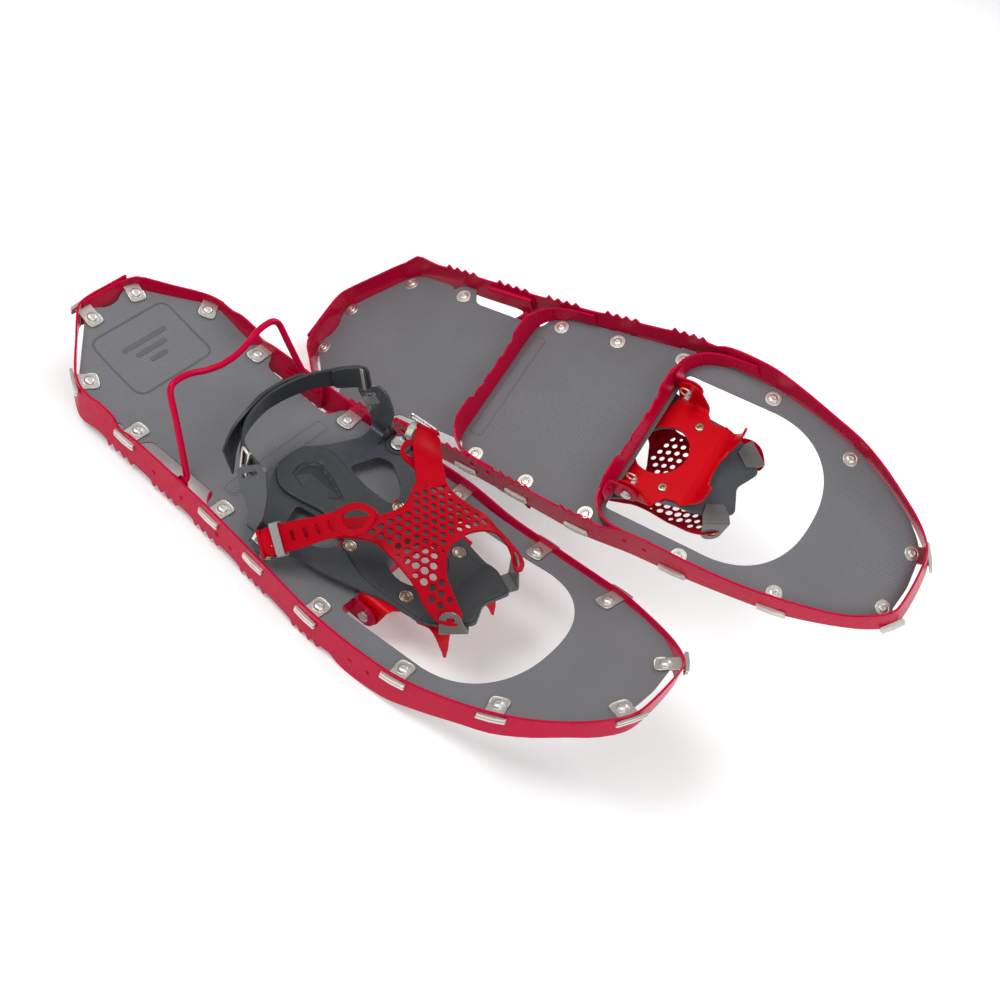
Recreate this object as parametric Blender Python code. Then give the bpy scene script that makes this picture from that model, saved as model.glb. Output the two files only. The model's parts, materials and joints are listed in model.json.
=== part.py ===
"""A pair of snowshoes with flat bladed frames: one upright, its mate leaning upside down against it.

Lengths are in millimetres in each shoe's own frame (x toward the toe, y to its left, z up from the
deck's top face) and MM turns them into metres. Each shoe hangs from an empty that places it, and
each moving group hangs from an empty on its joint's axis.
"""

import math

import bmesh
import bpy
import numpy as np
from mathutils import Vector
from mathutils.geometry import delaunay_2d_cdt

MM = 0.001
GAP = 0.3
SHEET = 2.0
SMOOTH_DEG = 32

# How the two shoes lie: turn in degrees about x, y, z, and position.
RIGHT_TURN = (9.8, 0.0, 0.0)
RIGHT_PLACE = (0.0, 0.0, 0.0)
LEFT_TURN = (-149.53, -16.85, 1.42)
LEFT_PLACE = (89.7, 205.5, 88.9)

# Frame: half of the blade's outer face in plan, from the middle of the tail to the middle of the toe.
FRAME_PLAN = (
    (-317.5, 0), (-317.2, 20), (-313, 34), (-288, 58), (-265, 79), (-247, 87), (-188, 88.4), (-94, 92.5),
    (-18, 99.3), (49, 105.8), (104, 104.6), (146, 103), (187, 97), (229, 87.5), (260, 75.5), (289, 59.5),
    (306, 46), (315.5, 33), (318, 17), (318.5, 0),
)
FRAME_TOP = (
    (-317, 8.5), (-256, 8.5), (-236, 9), (-225, 13.5), (-206, 14), (-201, 9), (-194, 6), (-186, 9),
    (-170, 10), (62, 10), (104, 7.6), (146, 6.3), (229, 6), (260, 4.5), (300, 4.5), (318, 6),
)
FRAME_FOOT_TAIL = ((-317, -20.5), (-262, -22), (-249, -28.5), (-240, -28), (-226, -22))
FRAME_FOOT_TOE = (
    (88, -26), (104, -29.6), (140, -29.6), (160, -26), (187, -22.5), (208, -21.3), (229, -22.6),
    (260, -20), (281, -17.3), (302, -19.5), (318, -19.5),
)
TOOTH_GROUPS = (-212, -153, -98, -36, 32)
TEETH = 4
TOOTH_PITCH = 9.5
TOOTH_FOOT = -25.5
TOOTH_ROOT = -21.5
CREST_FOOT = -22.6
LAP = 27.0
CLIP_STATIONS = (
    (-302, 26), (-253, 72), (-188, 74), (-77, 79), (-18, 85), (49, 91), (141, 90), (223, 75), (302, 30),
)
CLIP_SLOT = (15.5, 2.6)

DECK_THICK = 1.2
TOE_RISE = (70.0, 76.0, 232.0, 1.8)
TAIL_RISE = (-188.0, 20.6, 114.0, 1.6)
DECK_PLAN = (
    (-304, 0), (-305, 8), (-309.5, 15), (-311, 24), (-303, 34), (-259, 79), (-247, 83.6), (-207, 81.5),
    (-202, 77), (-197, 85.4), (-180, 86), (-172, 71), (-95, 71), (-89, 89.4), (-18, 96), (49, 102.4),
    (104, 101.4), (146, 99.7),
    (187, 93.8), (229, 84.2), (260, 72.2), (287, 57.2), (302, 43), (308, 32), (311, 0),
)
OPENING_REAR = 61.0
OPENING_HALF = 78.0
OPENING_TURN_X = 150.0
OPENING_NOSE = 71.0
OPENING_POWER = 2.3

# Crossmembers: half of each blade's face in plan, and its lower edge by distance from the middle line.
REAR_BLADE_PLAN = ((-101, 0), (-101, 58), (-98, 74), (-88, 84), (-75, 88.9), (-68, 90.6), (-45, 92.9))
FRONT_BLADE_PLAN = ((57, 0), (57, 76), (61, 86), (70, 94), (84, 99), (97, 100.5), (122, 100.1))
BLADE_TOP = -1.6
SCALLOPS = 2
BLADE_FOOT = ((33, -21), (40, -28), (62, -28), (72, -22), (90, -19))
BLADE_TIE = (-5.0, -19.0)

# Binding pivot and crampon.
PIVOT = (76.0, -10.3)
PIN_R = 3.0
BORE_R = 3.1
RIM_STEPS = 20
EAR_Y = 61.0
FLANGE_Y = 57.0
EAR_R = 11.0
CRAMPON_Z = 8.5
CRAMPON_FOLD = 51.0
WINDOW = (75.0, 25.5)
FRONT_RIVET = (95.0, 35.0)
REAR_RIVET = (27.0, 32.0)
RIVET_BORE = 3.2
RING_R = 5.2
RING_WIRE = 0.7
RING_Y = 50.5

# Footbed, wings and arms.
FOOTBED_THICK = 2.4
FOOTBED_Z = CRAMPON_Z + GAP + FOOTBED_THICK
HEEL_PAD = (-41.0, 39.0)
HEEL_RISE = 1.2
WING_FOLD = 45.0
WING_EDGE = 85.0
WING_RISE = 3.0
ARM_FRONT = -32.5
WIDE_ARM = (
    (-50, 76), (-54, 86), (-61, 108), (-71, 121), (-69, 127), (-46, 152), (-36, 150), (-28, 128),
    (-30, 104),
)
SLIM_ARM = (
    (-44, 74), (-42, 84), (-46, 100), (-62, 117), (-70, 126), (-68, 132), (-52, 148), (-43, 146),
    (-34, 126), (-30, 104),
)
ARM_SLOT = ((-62, 125), (-50.4, 138.6), (-47.7, 136.4), (-59.3, 122.6))
SLIM_SHIFT = (-2.0, 2.0)
BOLT = (-21.0, 84.0)
ARM_TOP_Z = 59.0
LINK_OUT = 9.0
LINK_LEAN = 0.34

# The bed's toe turns up, and a steel tab under each front corner rises to hold the wrap.
TOE_FOLD = 118.0
TOE_PITCH = 24.0
TAB_EDGE = ((160.0, 25.0), (134.5, 41.5))
TAB_THICK = 1.5
TAB_REACH = 9.0
TAB_RISE = 28.0
TAB_LEAN = 11.0

# Heel-lift bail.
BAIL_PIVOT = (-120.0, 3.0)
BAIL_WIRE = 3.0
BAIL_RAISED = {"right": 57.7, "left": 42.0}
BAIL_HALF = 79.5
BAIL_REACH = 74.0
BAIL_HORN = 10.0
BRACKET_FACE = 88.8
RAIL_SPLAY = 0.044

RED = ((0.52, 0.0, 0.045), 0.28, 0.0)
BRIGHT_RED = ((0.60, 0.0, 0.008), 0.3, 0.0)
SOFT_RED = ((0.5, 0.002, 0.012), 0.45, 0.0)
CHARCOAL = ((0.05, 0.055, 0.06), 0.55, 0.0)
DECK_GREY = ((0.13, 0.13, 0.14), 0.6, 0.0)
CLEAR_GREY = ((0.35, 0.35, 0.37), 0.4, 0.0)
STEEL = ((0.55, 0.54, 0.51), 0.3, 1.0)


def clear_scene():
    for obj in list(bpy.data.objects):
        bpy.data.objects.remove(obj, do_unlink=True)


def mirrored(half):
    """A closed outline from the half with y at or above zero, listed from tail to toe or rear to front."""
    other = [(x, -y) for x, y in reversed(half) if y > 0]
    return list(half) + other


def arc(centre, radius, start, end, steps):
    """Points on an arc, angles in degrees."""
    angles = np.radians(np.linspace(start, end, steps + 1))
    return [(centre[0] + radius * math.cos(a), centre[1] + radius * math.sin(a)) for a in angles]


def circle(centre, radius, steps=RIM_STEPS):
    return arc(centre, radius, 0, 360, steps)[:-1]


def rounded(points, radius, steps=3, closed=True):
    """The polyline with each inner corner cut by a quadratic curve that starts radius away."""
    points = [np.array(p, float) for p in points]
    count = len(points)
    out = []
    for i, here in enumerate(points):
        if not closed and i in (0, count - 1):
            out.append(tuple(here))
            continue
        before = points[i - 1] - here
        after = points[(i + 1) % count] - here
        cut = min(radius, 0.48 * np.linalg.norm(before), 0.48 * np.linalg.norm(after))
        start = here + before / np.linalg.norm(before) * cut
        end = here + after / np.linalg.norm(after) * cut
        for t in np.linspace(0, 1, steps + 1):
            out.append(tuple((1 - t) ** 2 * start + 2 * t * (1 - t) * here + t * t * end))
    return out


def spline(points, most_turn=9.0, longest=60.0):
    """A smooth curve through the points, sampled more closely where it turns."""
    p = [np.array(q, float) for q in points]
    p = [2 * p[0] - p[1]] + p + [2 * p[-1] - p[-2]]
    out = [p[1]]
    for a, b, c, d in zip(p, p[1:], p[2:], p[3:]):
        into = (c - a) / 2
        away = (d - b) / 2
        reach = np.linalg.norm(c - b)
        into = into / np.linalg.norm(into) * min(np.linalg.norm(into), reach)
        away = away / np.linalg.norm(away) * min(np.linalg.norm(away), reach)
        cosine = np.dot(into, away) / (np.linalg.norm(into) * np.linalg.norm(away))
        turn = math.degrees(math.acos(np.clip(cosine, -1, 1)))
        steps = max(1, math.ceil(turn / most_turn), math.ceil(reach / longest))
        for t in np.linspace(0, 1, steps + 1)[1:]:
            h1 = 2 * t**3 - 3 * t**2 + 1
            h2 = t**3 - 2 * t**2 + t
            h3 = 3 * t**2 - 2 * t**3
            h4 = t**3 - t**2
            out.append(h1 * b + h2 * into + h3 * c + h4 * away)
    return [tuple(q) for q in out]


class Bend:
    """A bent line in a plane: where a distance along it lies, and which way its left side faces."""

    def __init__(self, points):
        self.p = np.array(points, float)
        steps = np.diff(self.p, axis=0)
        lengths = np.linalg.norm(steps, axis=1)
        self.s = np.concatenate([[0], np.cumsum(lengths)])
        left = np.stack([-steps[:, 1], steps[:, 0]], 1) / lengths[:, None]
        before = np.vstack([left[:1], left])
        after = np.vstack([left, left[-1:]])
        mitre = before + after
        mitre = mitre / (np.sum(mitre * mitre, axis=1) / 2)[:, None]
        self.folds = self.s[1:-1]
        near = np.minimum(1.0, lengths / 3)
        self.k = np.sort(np.concatenate([self.s, self.s[:-1] + near, self.s[1:] - near]))
        self.n = np.empty((len(self.k), 2))
        self.n[0::3] = mitre
        self.n[1::3] = left
        self.n[2::3] = left

    def at(self, s, w=0.0):
        x = np.interp(s, self.s, self.p[:, 0]) + w * np.interp(s, self.k, self.n[:, 0])
        y = np.interp(s, self.s, self.p[:, 1]) + w * np.interp(s, self.k, self.n[:, 1])
        return x, y


def inside(loops, x, y):
    """Which of the points lie inside an odd number of the loops."""
    hit = np.zeros(len(x), bool)
    for loop in loops:
        p = np.array(loop, float)
        q = np.roll(p, -1, axis=0)
        for (x0, y0), (x1, y1) in zip(p, q):
            if y0 == y1:
                continue
            spans = (y0 > y) != (y1 > y)
            hit ^= spans & (x < x0 + (y - y0) * (x1 - x0) / (y1 - y0))
    return hit


def flat_triangles(outline, holes, creases):
    """Points and triangles of the flat pattern, with an edge along every crease."""
    points = []
    edges = []
    for loop in [outline, *holes]:
        first = len(points)
        points.extend(Vector(p) for p in loop)
        edges.extend((first + i, first + (i + 1) % len(loop)) for i in range(len(loop)))
    for start, end in creases:
        edges.append((len(points), len(points) + 1))
        points.extend((Vector(start), Vector(end)))
    verts, _, faces, *_ = delaunay_2d_cdt(points, edges, [], 0, 1e-4)
    flat = np.array([tuple(v) for v in verts])
    tris = np.array([list(f) for f in faces])
    centre = flat[tris].mean(axis=1)
    tris = tris[inside([outline, *holes], centre[:, 0], centre[:, 1])]
    used, tris = np.unique(tris, return_inverse=True)
    return flat[used], tris.reshape(-1, 3)


def material(name, look):
    made = bpy.data.materials.new(name)
    made.use_nodes = True
    shader = made.node_tree.nodes["Principled BSDF"]
    shader.inputs["Base Color"].default_value = (*look[0], 1.0)
    shader.inputs["Roughness"].default_value = look[1]
    shader.inputs["Metallic"].default_value = look[2]
    made.diffuse_color = (*look[0], 1.0)
    return made


def add(name, points, faces, look, group):
    """A mesh object under its group's empty, from points in the shoe's own frame."""
    mesh = bpy.data.meshes.new(name)
    offset = Vector(group["offset"])
    mesh.from_pydata([(Vector(p) * MM - offset) for p in points], [], [list(map(int, f)) for f in faces])
    work = bmesh.new()
    work.from_mesh(mesh)
    bmesh.ops.recalc_face_normals(work, faces=work.faces)
    work.to_mesh(mesh)
    work.free()
    mesh.materials.append(material(name, look))
    mesh.shade_smooth()
    mesh.set_sharp_from_angle(angle=math.radians(SMOOTH_DEG))
    obj = bpy.data.objects.new(name, mesh)
    bpy.context.scene.collection.objects.link(obj)
    obj.parent = group["empty"]
    return obj


def sheet(name, outline, holes, creases, bend, thick, look, group):
    """A flat pattern bent into shape: bend(u, v, w) places a pattern point, w through the thickness."""
    flat, tris = flat_triangles(outline, holes, creases)
    count = len(flat)
    points = [bend(u, v, 0.0) for u, v in flat] + [bend(u, v, thick) for u, v in flat]
    sides = np.concatenate([tris[:, [0, 1]], tris[:, [1, 2]], tris[:, [2, 0]]])
    twins = {(b, a) for a, b in sides}
    rims = [(a, b, b + count, a + count) for a, b in sides if (a, b) not in twins]
    faces = [t[::-1] for t in tris] + [t + count for t in tris] + rims
    return add(name, points, faces, look, group)


def lathe(name, profile, centre, axis, look, group, steps=16, flats=0):
    """A turned solid: (radius, distance along axis) from end to end. flats makes its head a prism."""
    axis = Vector(axis).normalized()
    side = axis.orthogonal().normalized()
    other = axis.cross(side)
    points = []
    for radius, along in profile:
        for k in range(steps):
            a = 2 * math.pi * k / steps
            r = radius
            if flats and along > 0:
                half = math.pi / flats
                r = radius * math.cos(half) / math.cos(a % (2 * half) - half)
            across = side * (r * math.cos(a)) + other * (r * math.sin(a))
            points.append(Vector(centre) + axis * along + across)
    faces = [list(range(steps)), list(range(len(points) - steps, len(points)))]
    for ring in range(len(profile) - 1):
        for k in range(steps):
            a = ring * steps + k
            b = ring * steps + (k + 1) % steps
            faces.append((a, b, b + steps, a + steps))
    return add(name, points, faces, look, group)


def wire(name, path, radius, look, group, sides=10, closed=False):
    """A round wire along a 3-D path."""
    path = [Vector(p) for p in path]
    count = len(path)
    up = None
    points = []
    for i, here in enumerate(path):
        if closed:
            along = (path[(i + 1) % count] - path[i - 1]).normalized()
        else:
            along = (path[min(i + 1, count - 1)] - path[max(i - 1, 0)]).normalized()
        up = along.orthogonal() if up is None else up - along * up.dot(along)
        up.normalize()
        other = along.cross(up)
        for k in range(sides):
            a = 2 * math.pi * k / sides
            points.append(here + up * (radius * math.cos(a)) + other * (radius * math.sin(a)))
    faces = []
    for i in range(count if closed else count - 1):
        for k in range(sides):
            a = i * sides + k
            b = i * sides + (k + 1) % sides
            c = (i + 1) % count * sides
            faces.append((a, b, c + (k + 1) % sides, c + k))
    if not closed:
        faces += [list(range(sides)), list(range(len(points) - sides, len(points)))]
    return add(name, points, faces, look, group)


def deck_rise(x):
    """Height of the deck's top face: level underfoot, swept up at the toe and the tail."""
    start, rise, run, power = TOE_RISE
    if x > start:
        return rise * ((x - start) / run) ** power
    start, rise, run, power = TAIL_RISE
    if x < start:
        return rise * ((start - x) / run) ** power
    return 0.0


def foot_points():
    """The blade's lower edge from tail to toe as (x, height), with its scalloped crests and teeth."""
    points = list(FRAME_FOOT_TAIL)
    for start, following in zip(TOOTH_GROUPS, (*TOOTH_GROUPS[1:], FRAME_FOOT_TOE[0][0])):
        for k in range(TEETH):
            points.append((start + k * TOOTH_PITCH, TOOTH_ROOT))
            points.append((start + (k + 0.45) * TOOTH_PITCH, TOOTH_FOOT if k else TOOTH_FOOT - 1))
        end = start + TEETH * TOOTH_PITCH
        points.append((end, TOOTH_ROOT + 1))
        if following - end > TOOTH_PITCH:
            points.append(((end + following) / 2, CREST_FOOT + 2))
    return points + list(FRAME_FOOT_TOE)


def frame(side, group):
    """The blade: one toothed strip bent round the deck, its ends lapped and riveted across the tail."""
    half = spline(FRAME_PLAN)
    loop = half + [(x, -y) for x, y in reversed(half[1:-1])]
    lap_in = SHEET + GAP
    start = [(loop[0][0] + lap_in, -LAP), (loop[0][0] + lap_in, LAP - 10)]
    body = [p for p in half if p[0] > FRAME_PLAN[2][0]]
    turn = [(FRAME_PLAN[2][0] + 0.6 * lap_in, FRAME_PLAN[2][1] - 0.5)]
    other = [(x, -y) for x, y in reversed(half) if y > 0]
    finish = [(loop[0][0], 0), (loop[0][0], LAP)]
    path = Bend(start + turn + body + other + finish)
    xs = path.p[:, 0]
    middle = int(np.argmax(xs))

    def along(x, first):
        part = slice(0, middle + 1) if first else slice(middle, None)
        order = 1 if first else -1
        return float(np.interp(x, xs[part][::order], path.s[part][::order]))

    def ends(first):
        return path.s[0] if first else path.s[-1]

    def nearest(x, y):
        s = np.linspace(0, path.s[-1], 4000)
        px, py = path.at(s)
        return float(s[np.argmin((px - x) ** 2 + (py - y) ** 2)])

    def edge(profile, first):
        """Pattern points of one edge on one side, outward from the tail."""
        inner = [(along(x, first), h) for x, h in profile if x > FRAME_PLAN[2][0]]
        return [(ends(first), profile[0][1])] + inner

    top = edge(FRAME_TOP, True)[:-1] + [(path.s[middle], FRAME_TOP[-1][1])]
    top += edge(FRAME_TOP, False)[:-1][::-1]
    foot_profile = foot_points()
    foot = edge(foot_profile, True)[:-1] + [(path.s[middle], foot_profile[-1][1])]
    foot += edge(foot_profile, False)[:-1][::-1]
    slots = []
    for x, y in CLIP_STATIONS:
        for sign in (1, -1):
            u = nearest(x, sign * y)
            w, h = CLIP_SLOT[0] / 2, CLIP_SLOT[1] / 2
            slots.append([(u - w, -h - 0.6), (u + w, -h - 0.6), (u + w, h - 0.6), (u - w, h - 0.6)])
    creases = [((s, -60), (s, 60)) for s in path.folds]

    def bend(u, v, w):
        x, y = path.at(u, -w)
        return x, y, v + deck_rise(path.at(u)[0])

    sheet(f"{side}_frame", foot + top[::-1], slots, creases, bend, SHEET, RED, group)


def deck(side, group):
    """The decking sheet with the toe opening for the binding."""
    nose = []
    for a in np.radians(np.linspace(90, -90, 19)):
        power = 2 / OPENING_POWER
        x = OPENING_TURN_X + OPENING_NOSE * abs(math.cos(a)) ** power
        nose.append((x, math.copysign(OPENING_HALF * abs(math.sin(a)) ** power, a)))
    opening = nose + [(OPENING_REAR, -OPENING_HALF), (OPENING_REAR, OPENING_HALF)]
    outline = mirrored(DECK_PLAN)
    toe = [((x, -120), (x, 120)) for x in (70, 110, 150, 185, 215, 240, 262, 282, 300)]
    tail = [((x, -120), (x, 120)) for x in (-188, -215, -240, -265, -290)]

    def bend(u, v, w):
        return u, v, deck_rise(u) - DECK_THICK + w

    sheet(f"{side}_deck", outline, [opening], toe + tail, bend, DECK_THICK, DECK_GREY, group)


def crossmember(side, name, plan, group):
    """A toothed blade across the frame under the deck, its ends curled round onto the rails."""
    half = spline(plan, most_turn=14)
    path = Bend([(x, -y) for x, y in reversed(half)] + half[1:])
    middle = path.s[-1] / 2
    foot = [(0.0, TOOTH_ROOT)]
    pitch = BLADE_FOOT[0][0] / SCALLOPS
    for k in range(SCALLOPS):
        for part, dip in ((0.25, 0.8), (0.5, 2.2), (0.75, 2.4), (0.92, 1.2), (1.0, -0.8)):
            foot.append(((k + part) * pitch, TOOTH_ROOT - dip + 0.6))
    foot += [(d, h) for d, h in BLADE_FOOT[1:]] + [(middle, BLADE_TIE[1])]
    top = [(0.0, BLADE_TOP), (middle - 34, BLADE_TOP), (middle - 22, BLADE_TIE[0]), (middle, BLADE_TIE[0])]
    lower = [(middle - d, h) for d, h in reversed(foot)] + [(middle + d, h) for d, h in foot[1:]]
    upper = [(middle - d, h) for d, h in reversed(top)] + [(middle + d, h) for d, h in top[1:]]
    creases = [((s, -60), (s, 60)) for s in path.folds]

    def bend(u, v, w):
        x, y = path.at(u, w - SHEET / 2)
        return x, y, v

    sheet(f"{side}_{name}", lower + upper[::-1], [], creases, bend, SHEET, RED, group)


def pivot_ear(side, tag, sign, group):
    """An angle bracket on the front crossmember that carries one end of the binding's pivot."""
    face = FRONT_BLADE_PLAN[0][0] + SHEET / 2 + GAP
    tip = PIVOT[0] + EAR_R
    corner = rounded([(face, EAR_Y + 13), (face, EAR_Y - 1), (tip + 1, EAR_Y - 1)], 3, closed=False)
    path = Bend(corner)
    x_end = path.s[-1]

    def s_of(x):
        return x_end - (tip + 1 - x)

    lobe = [(s_of(x), z) for x, z in arc(PIVOT, EAR_R, -100, 80, 9)]
    outline = [(0, -18), (9, -21)] + lobe + [(s_of(64), 0.5), (s_of(62), -3), (0, -4)]
    bore = [(s_of(x), z) for x, z in circle(PIVOT, BORE_R)]
    creases = [((s, -60), (s, 60)) for s in path.folds]

    def bend(u, v, w):
        x, y = path.at(u, w)
        return x, sign * y, v

    sheet(f"{side}_pivot_ear_{tag}", outline, [bore], creases, bend, SHEET, RED, group)


def pivot_hardware(side, tag, sign, group):
    """The clevis pin through ear and flange, and the split ring on its inner end."""
    head = EAR_Y + 1 + GAP
    profile = [(PIN_R, RING_Y - 4 - head), (PIN_R, 0.0), (5.2, 0.0), (5.2, 1.9), (4.3, 2.7)]
    centre = (PIVOT[0], sign * head, PIVOT[1])
    lathe(f"{side}_pivot_pin_{tag}", profile, centre, (0, sign, 0), STEEL, group, RIM_STEPS)
    hub = (PIVOT[0], sign * (RING_Y - 1.2), PIVOT[1] - RING_R - PIN_R - RING_WIRE - GAP)
    ring = []
    for k in range(16):
        a = 2 * math.pi * k / 16
        ring.append((hub[0] + RING_R * math.cos(a), hub[1], hub[2] + RING_R * math.sin(a)))
    wire(f"{side}_split_ring_{tag}", ring, RING_WIRE, STEEL, group, sides=6, closed=True)


def crampon(side, group):
    """The toothed plate under the toes, folded down at each side onto the pivot."""
    x0 = WINDOW[0]
    r = WINDOW[1]
    half_gap = 20.0
    meet = x0 - math.sqrt(r * r - half_gap * half_gap)
    sweep = 180 - math.degrees(math.asin(half_gap / r))
    window = arc((x0, 0), r, -sweep, sweep, 18)
    fold_r = 6.0
    corner = [(0, CRAMPON_Z), (FLANGE_Y + 1, CRAMPON_Z), (FLANGE_Y + 1, -40)]
    corner = rounded(corner, fold_r, 4, closed=False)
    path = Bend([(-y, z) for y, z in reversed(corner)] + corner[1:])
    mid = path.s[-1] / 2
    axis_v = float(np.interp(-PIVOT[1], -np.array([z for _, z in corner]), Bend(corner).s))
    nose = spline([(60, CRAMPON_Z), (112, CRAMPON_Z), (124, CRAMPON_Z - 1.2), (133, CRAMPON_Z - 6),
                   (140, CRAMPON_Z - 15), (145, CRAMPON_Z - 26), (148, CRAMPON_Z - 38)], 12)
    front = Bend(nose)
    lobe = [(x, v) for x, v in arc((PIVOT[0], axis_v), 12.5, 150, 20, 6)]
    rear_arm = [(meet, half_gap), (18, 24), (18, 42), (60, 47), (62.5, CRAMPON_FOLD + 2)]
    brow = [(96, CRAMPON_FOLD), (103, 44), (112, 43), (118, 45), (128, 40)]
    fang = [(150, 37.5), (165.5, 33.8), (166, 32.2), (152, 27), (136, 19), (131, 7)]
    half = rear_arm + lobe + brow + fang
    outline = half + [(x, -y) for x, y in reversed(half)] + window[1:-1]
    bores = [circle((PIVOT[0], s * axis_v), BORE_R) for s in (1, -1)]
    bores += [circle((FRONT_RIVET[0], s * FRONT_RIVET[1]), RIVET_BORE, 12) for s in (1, -1)]
    bores += [circle((REAR_RIVET[0], s * REAR_RIVET[1]), RIVET_BORE, 12) for s in (1, -1)]
    creases = [((-10, s - mid), (200, s - mid)) for s in path.folds if abs(s - mid) > 40]
    creases += [((60 + s, -46), (60 + s, 46)) for s in front.folds[1:]]

    def bend(u, v, w):
        if abs(v) < CRAMPON_FOLD - 1 and u > 104:
            x, z = front.at(u - 60, w - SHEET)
            return x, v, z
        y, z = path.at(v + mid, w - SHEET)
        return u, y, z

    sheet(f"{side}_crampon", outline, bores, creases, bend, SHEET, BRIGHT_RED, group)


def footbed_half(arm):
    """Half of the footbed's flat pattern from the middle of the heel to the middle of the toe."""
    heel = [(-77, 0), (-76, 14), (-74, 21), (-61, 43), (-50, 66)]
    lobe = arc(BOLT[:2], 11, 165, 0, 7)
    wing = [(4, 75), (29, 71), (61, 60), (85, 50.5), (112, 46), (125, 44.5), TAB_EDGE[1], TAB_EDGE[0]]
    toe = [(161, 21), (156, 10), (151, 0)]
    return heel + list(arm) + [(ARM_FRONT - 0.5, 87)] + lobe + wing + toe


def toe_slope(u, v, w):
    """A point of the bed's toe flap: u along its slope from the same zero as x, w up from its top face."""
    pitch = math.radians(TOE_PITCH)
    run = u - TOE_FOLD
    x = TOE_FOLD + run * math.cos(pitch) - w * math.sin(pitch)
    return x, v, FOOTBED_Z + run * math.sin(pitch) + w * math.cos(pitch)


def footbed(side, hand, group):
    """The moulded bed the boot stands on, with its wings and the arms that rise to the heel strap."""
    wide = footbed_half(WIDE_ARM)
    slim = footbed_half(SLIM_ARM)
    lean = math.radians(104)
    shelf = FOOTBED_Z + WING_RISE
    arm = (WING_EDGE + 80 * math.cos(lean), shelf + 80 * math.sin(lean))
    flat = [(0, FOOTBED_Z), (WING_FOLD, FOOTBED_Z), (WING_EDGE, shelf)]
    corner = rounded([*flat, arm], 6, 4, closed=False)
    path = Bend([(-y, z) for y, z in reversed(corner)] + corner[1:])
    mid = path.s[-1] / 2
    slope = WING_RISE / (WING_EDGE - WING_FOLD)
    wing = Bend([(0, FOOTBED_Z), (WING_FOLD, FOOTBED_Z), (WING_FOLD + 80, FOOTBED_Z + 80 * slope)])
    window = [(-34, 33), (-10, 28), (24, 30), (15, 50), (-10, 66), (-24, 62)]
    holes = [rounded([(x, s * y) for x, y in window], 4, 2) for s in (1, -1)]
    holes += [list(ARM_SLOT), [(x + SLIM_SHIFT[0], -y - SLIM_SHIFT[1]) for x, y in ARM_SLOT]]
    holes.append(circle((WINDOW[0], 0), WINDOW[1] + 1, 24))
    holes += [circle((x, s * y), RIVET_BORE, 12) for x, y in (FRONT_RIVET, REAR_RIVET) for s in (1, -1)]
    holes += [circle((BOLT[0], s * BOLT[1]), RIVET_BORE, 12) for s in (1, -1)]
    creases = [((-100, s - mid), (200, s - mid)) for s in path.folds]
    for u in (ARM_FRONT - 1.2, ARM_FRONT + 0.8):
        creases += [((u, 70), (u, 100)), ((u, -100), (u, -70))]
    creases += [((u, -60), (u, 60)) for u in (TOE_FOLD, TOE_FOLD + 0.8)]
    front, half = HEEL_PAD
    creases += [((u, -half - 1), (u, half + 1)) for u in (front, front + 1)]
    creases += [((-100, s * y), (front + 1, s * y)) for y in (half, half + 1) for s in (1, -1)]

    def bend(u, v, w):
        if u > ARM_FRONT and abs(v) < BOLT[1] + 12:
            y, z = wing.at(abs(v), w - FOOTBED_THICK)
            if u > TOE_FOLD + 0.4:
                return toe_slope(u, hand * math.copysign(y, v), z - FOOTBED_Z)
            return u, hand * math.copysign(y, v), z
        y, z = path.at(v + mid, w - FOOTBED_THICK)
        raised = min(1.0, max(0.0, front + 1 - u), max(0.0, half + 1 - abs(v)))
        return u, hand * y, z + HEEL_RISE * raised

    outline = wide + [(x, -y) for x, y in reversed(slim[1:-1])]
    sheet(f"{side}_footbed", outline, holes, creases, bend, FOOTBED_THICK, CHARCOAL, group)


def footbed_hardware(side, hand, group):
    """Rivets that hold the footbed, and the bolts through its wings."""
    for tag, (x, y) in (("front", FRONT_RIVET), ("rear", REAR_RIVET)):
        for end, sign in (("l", 1), ("r", -1)):
            low = CRAMPON_Z - SHEET - GAP
            top = FOOTBED_Z + GAP
            profile = [(4.2, -0.9), (4.2, 0.0), (RIVET_BORE - GAP, 0.0), (RIVET_BORE - GAP, top - low)]
            profile += [(4.6, top - low), (4.4, top - low + 1.1), (2.6, top - low + 1.7)]
            lathe(f"{side}_{tag}_rivet_{end}", profile, (x, sign * y, low), (0, 0, 1), STEEL, group, 12)
    pitch = math.atan2(WING_RISE, WING_EDGE - WING_FOLD)
    shelf = FOOTBED_Z + (BOLT[1] - WING_FOLD) * math.tan(pitch)
    for end, sign in (("l", 1), ("r", -1)):
        axis = (0, -sign * math.sin(pitch), math.cos(pitch))
        base = (BOLT[0], sign * (BOLT[1] + 0.2), shelf - FOOTBED_THICK - GAP)
        profile = [(4.5, -1.2), (4.5, 0.0), (2.8, 0.0), (2.8, 5.2), (4.8, 5.2), (4.8, 8.2), (4.0, 8.8)]
        lathe(f"{side}_wing_bolt_{end}", profile, base, axis, STEEL, group, 12)


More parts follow.
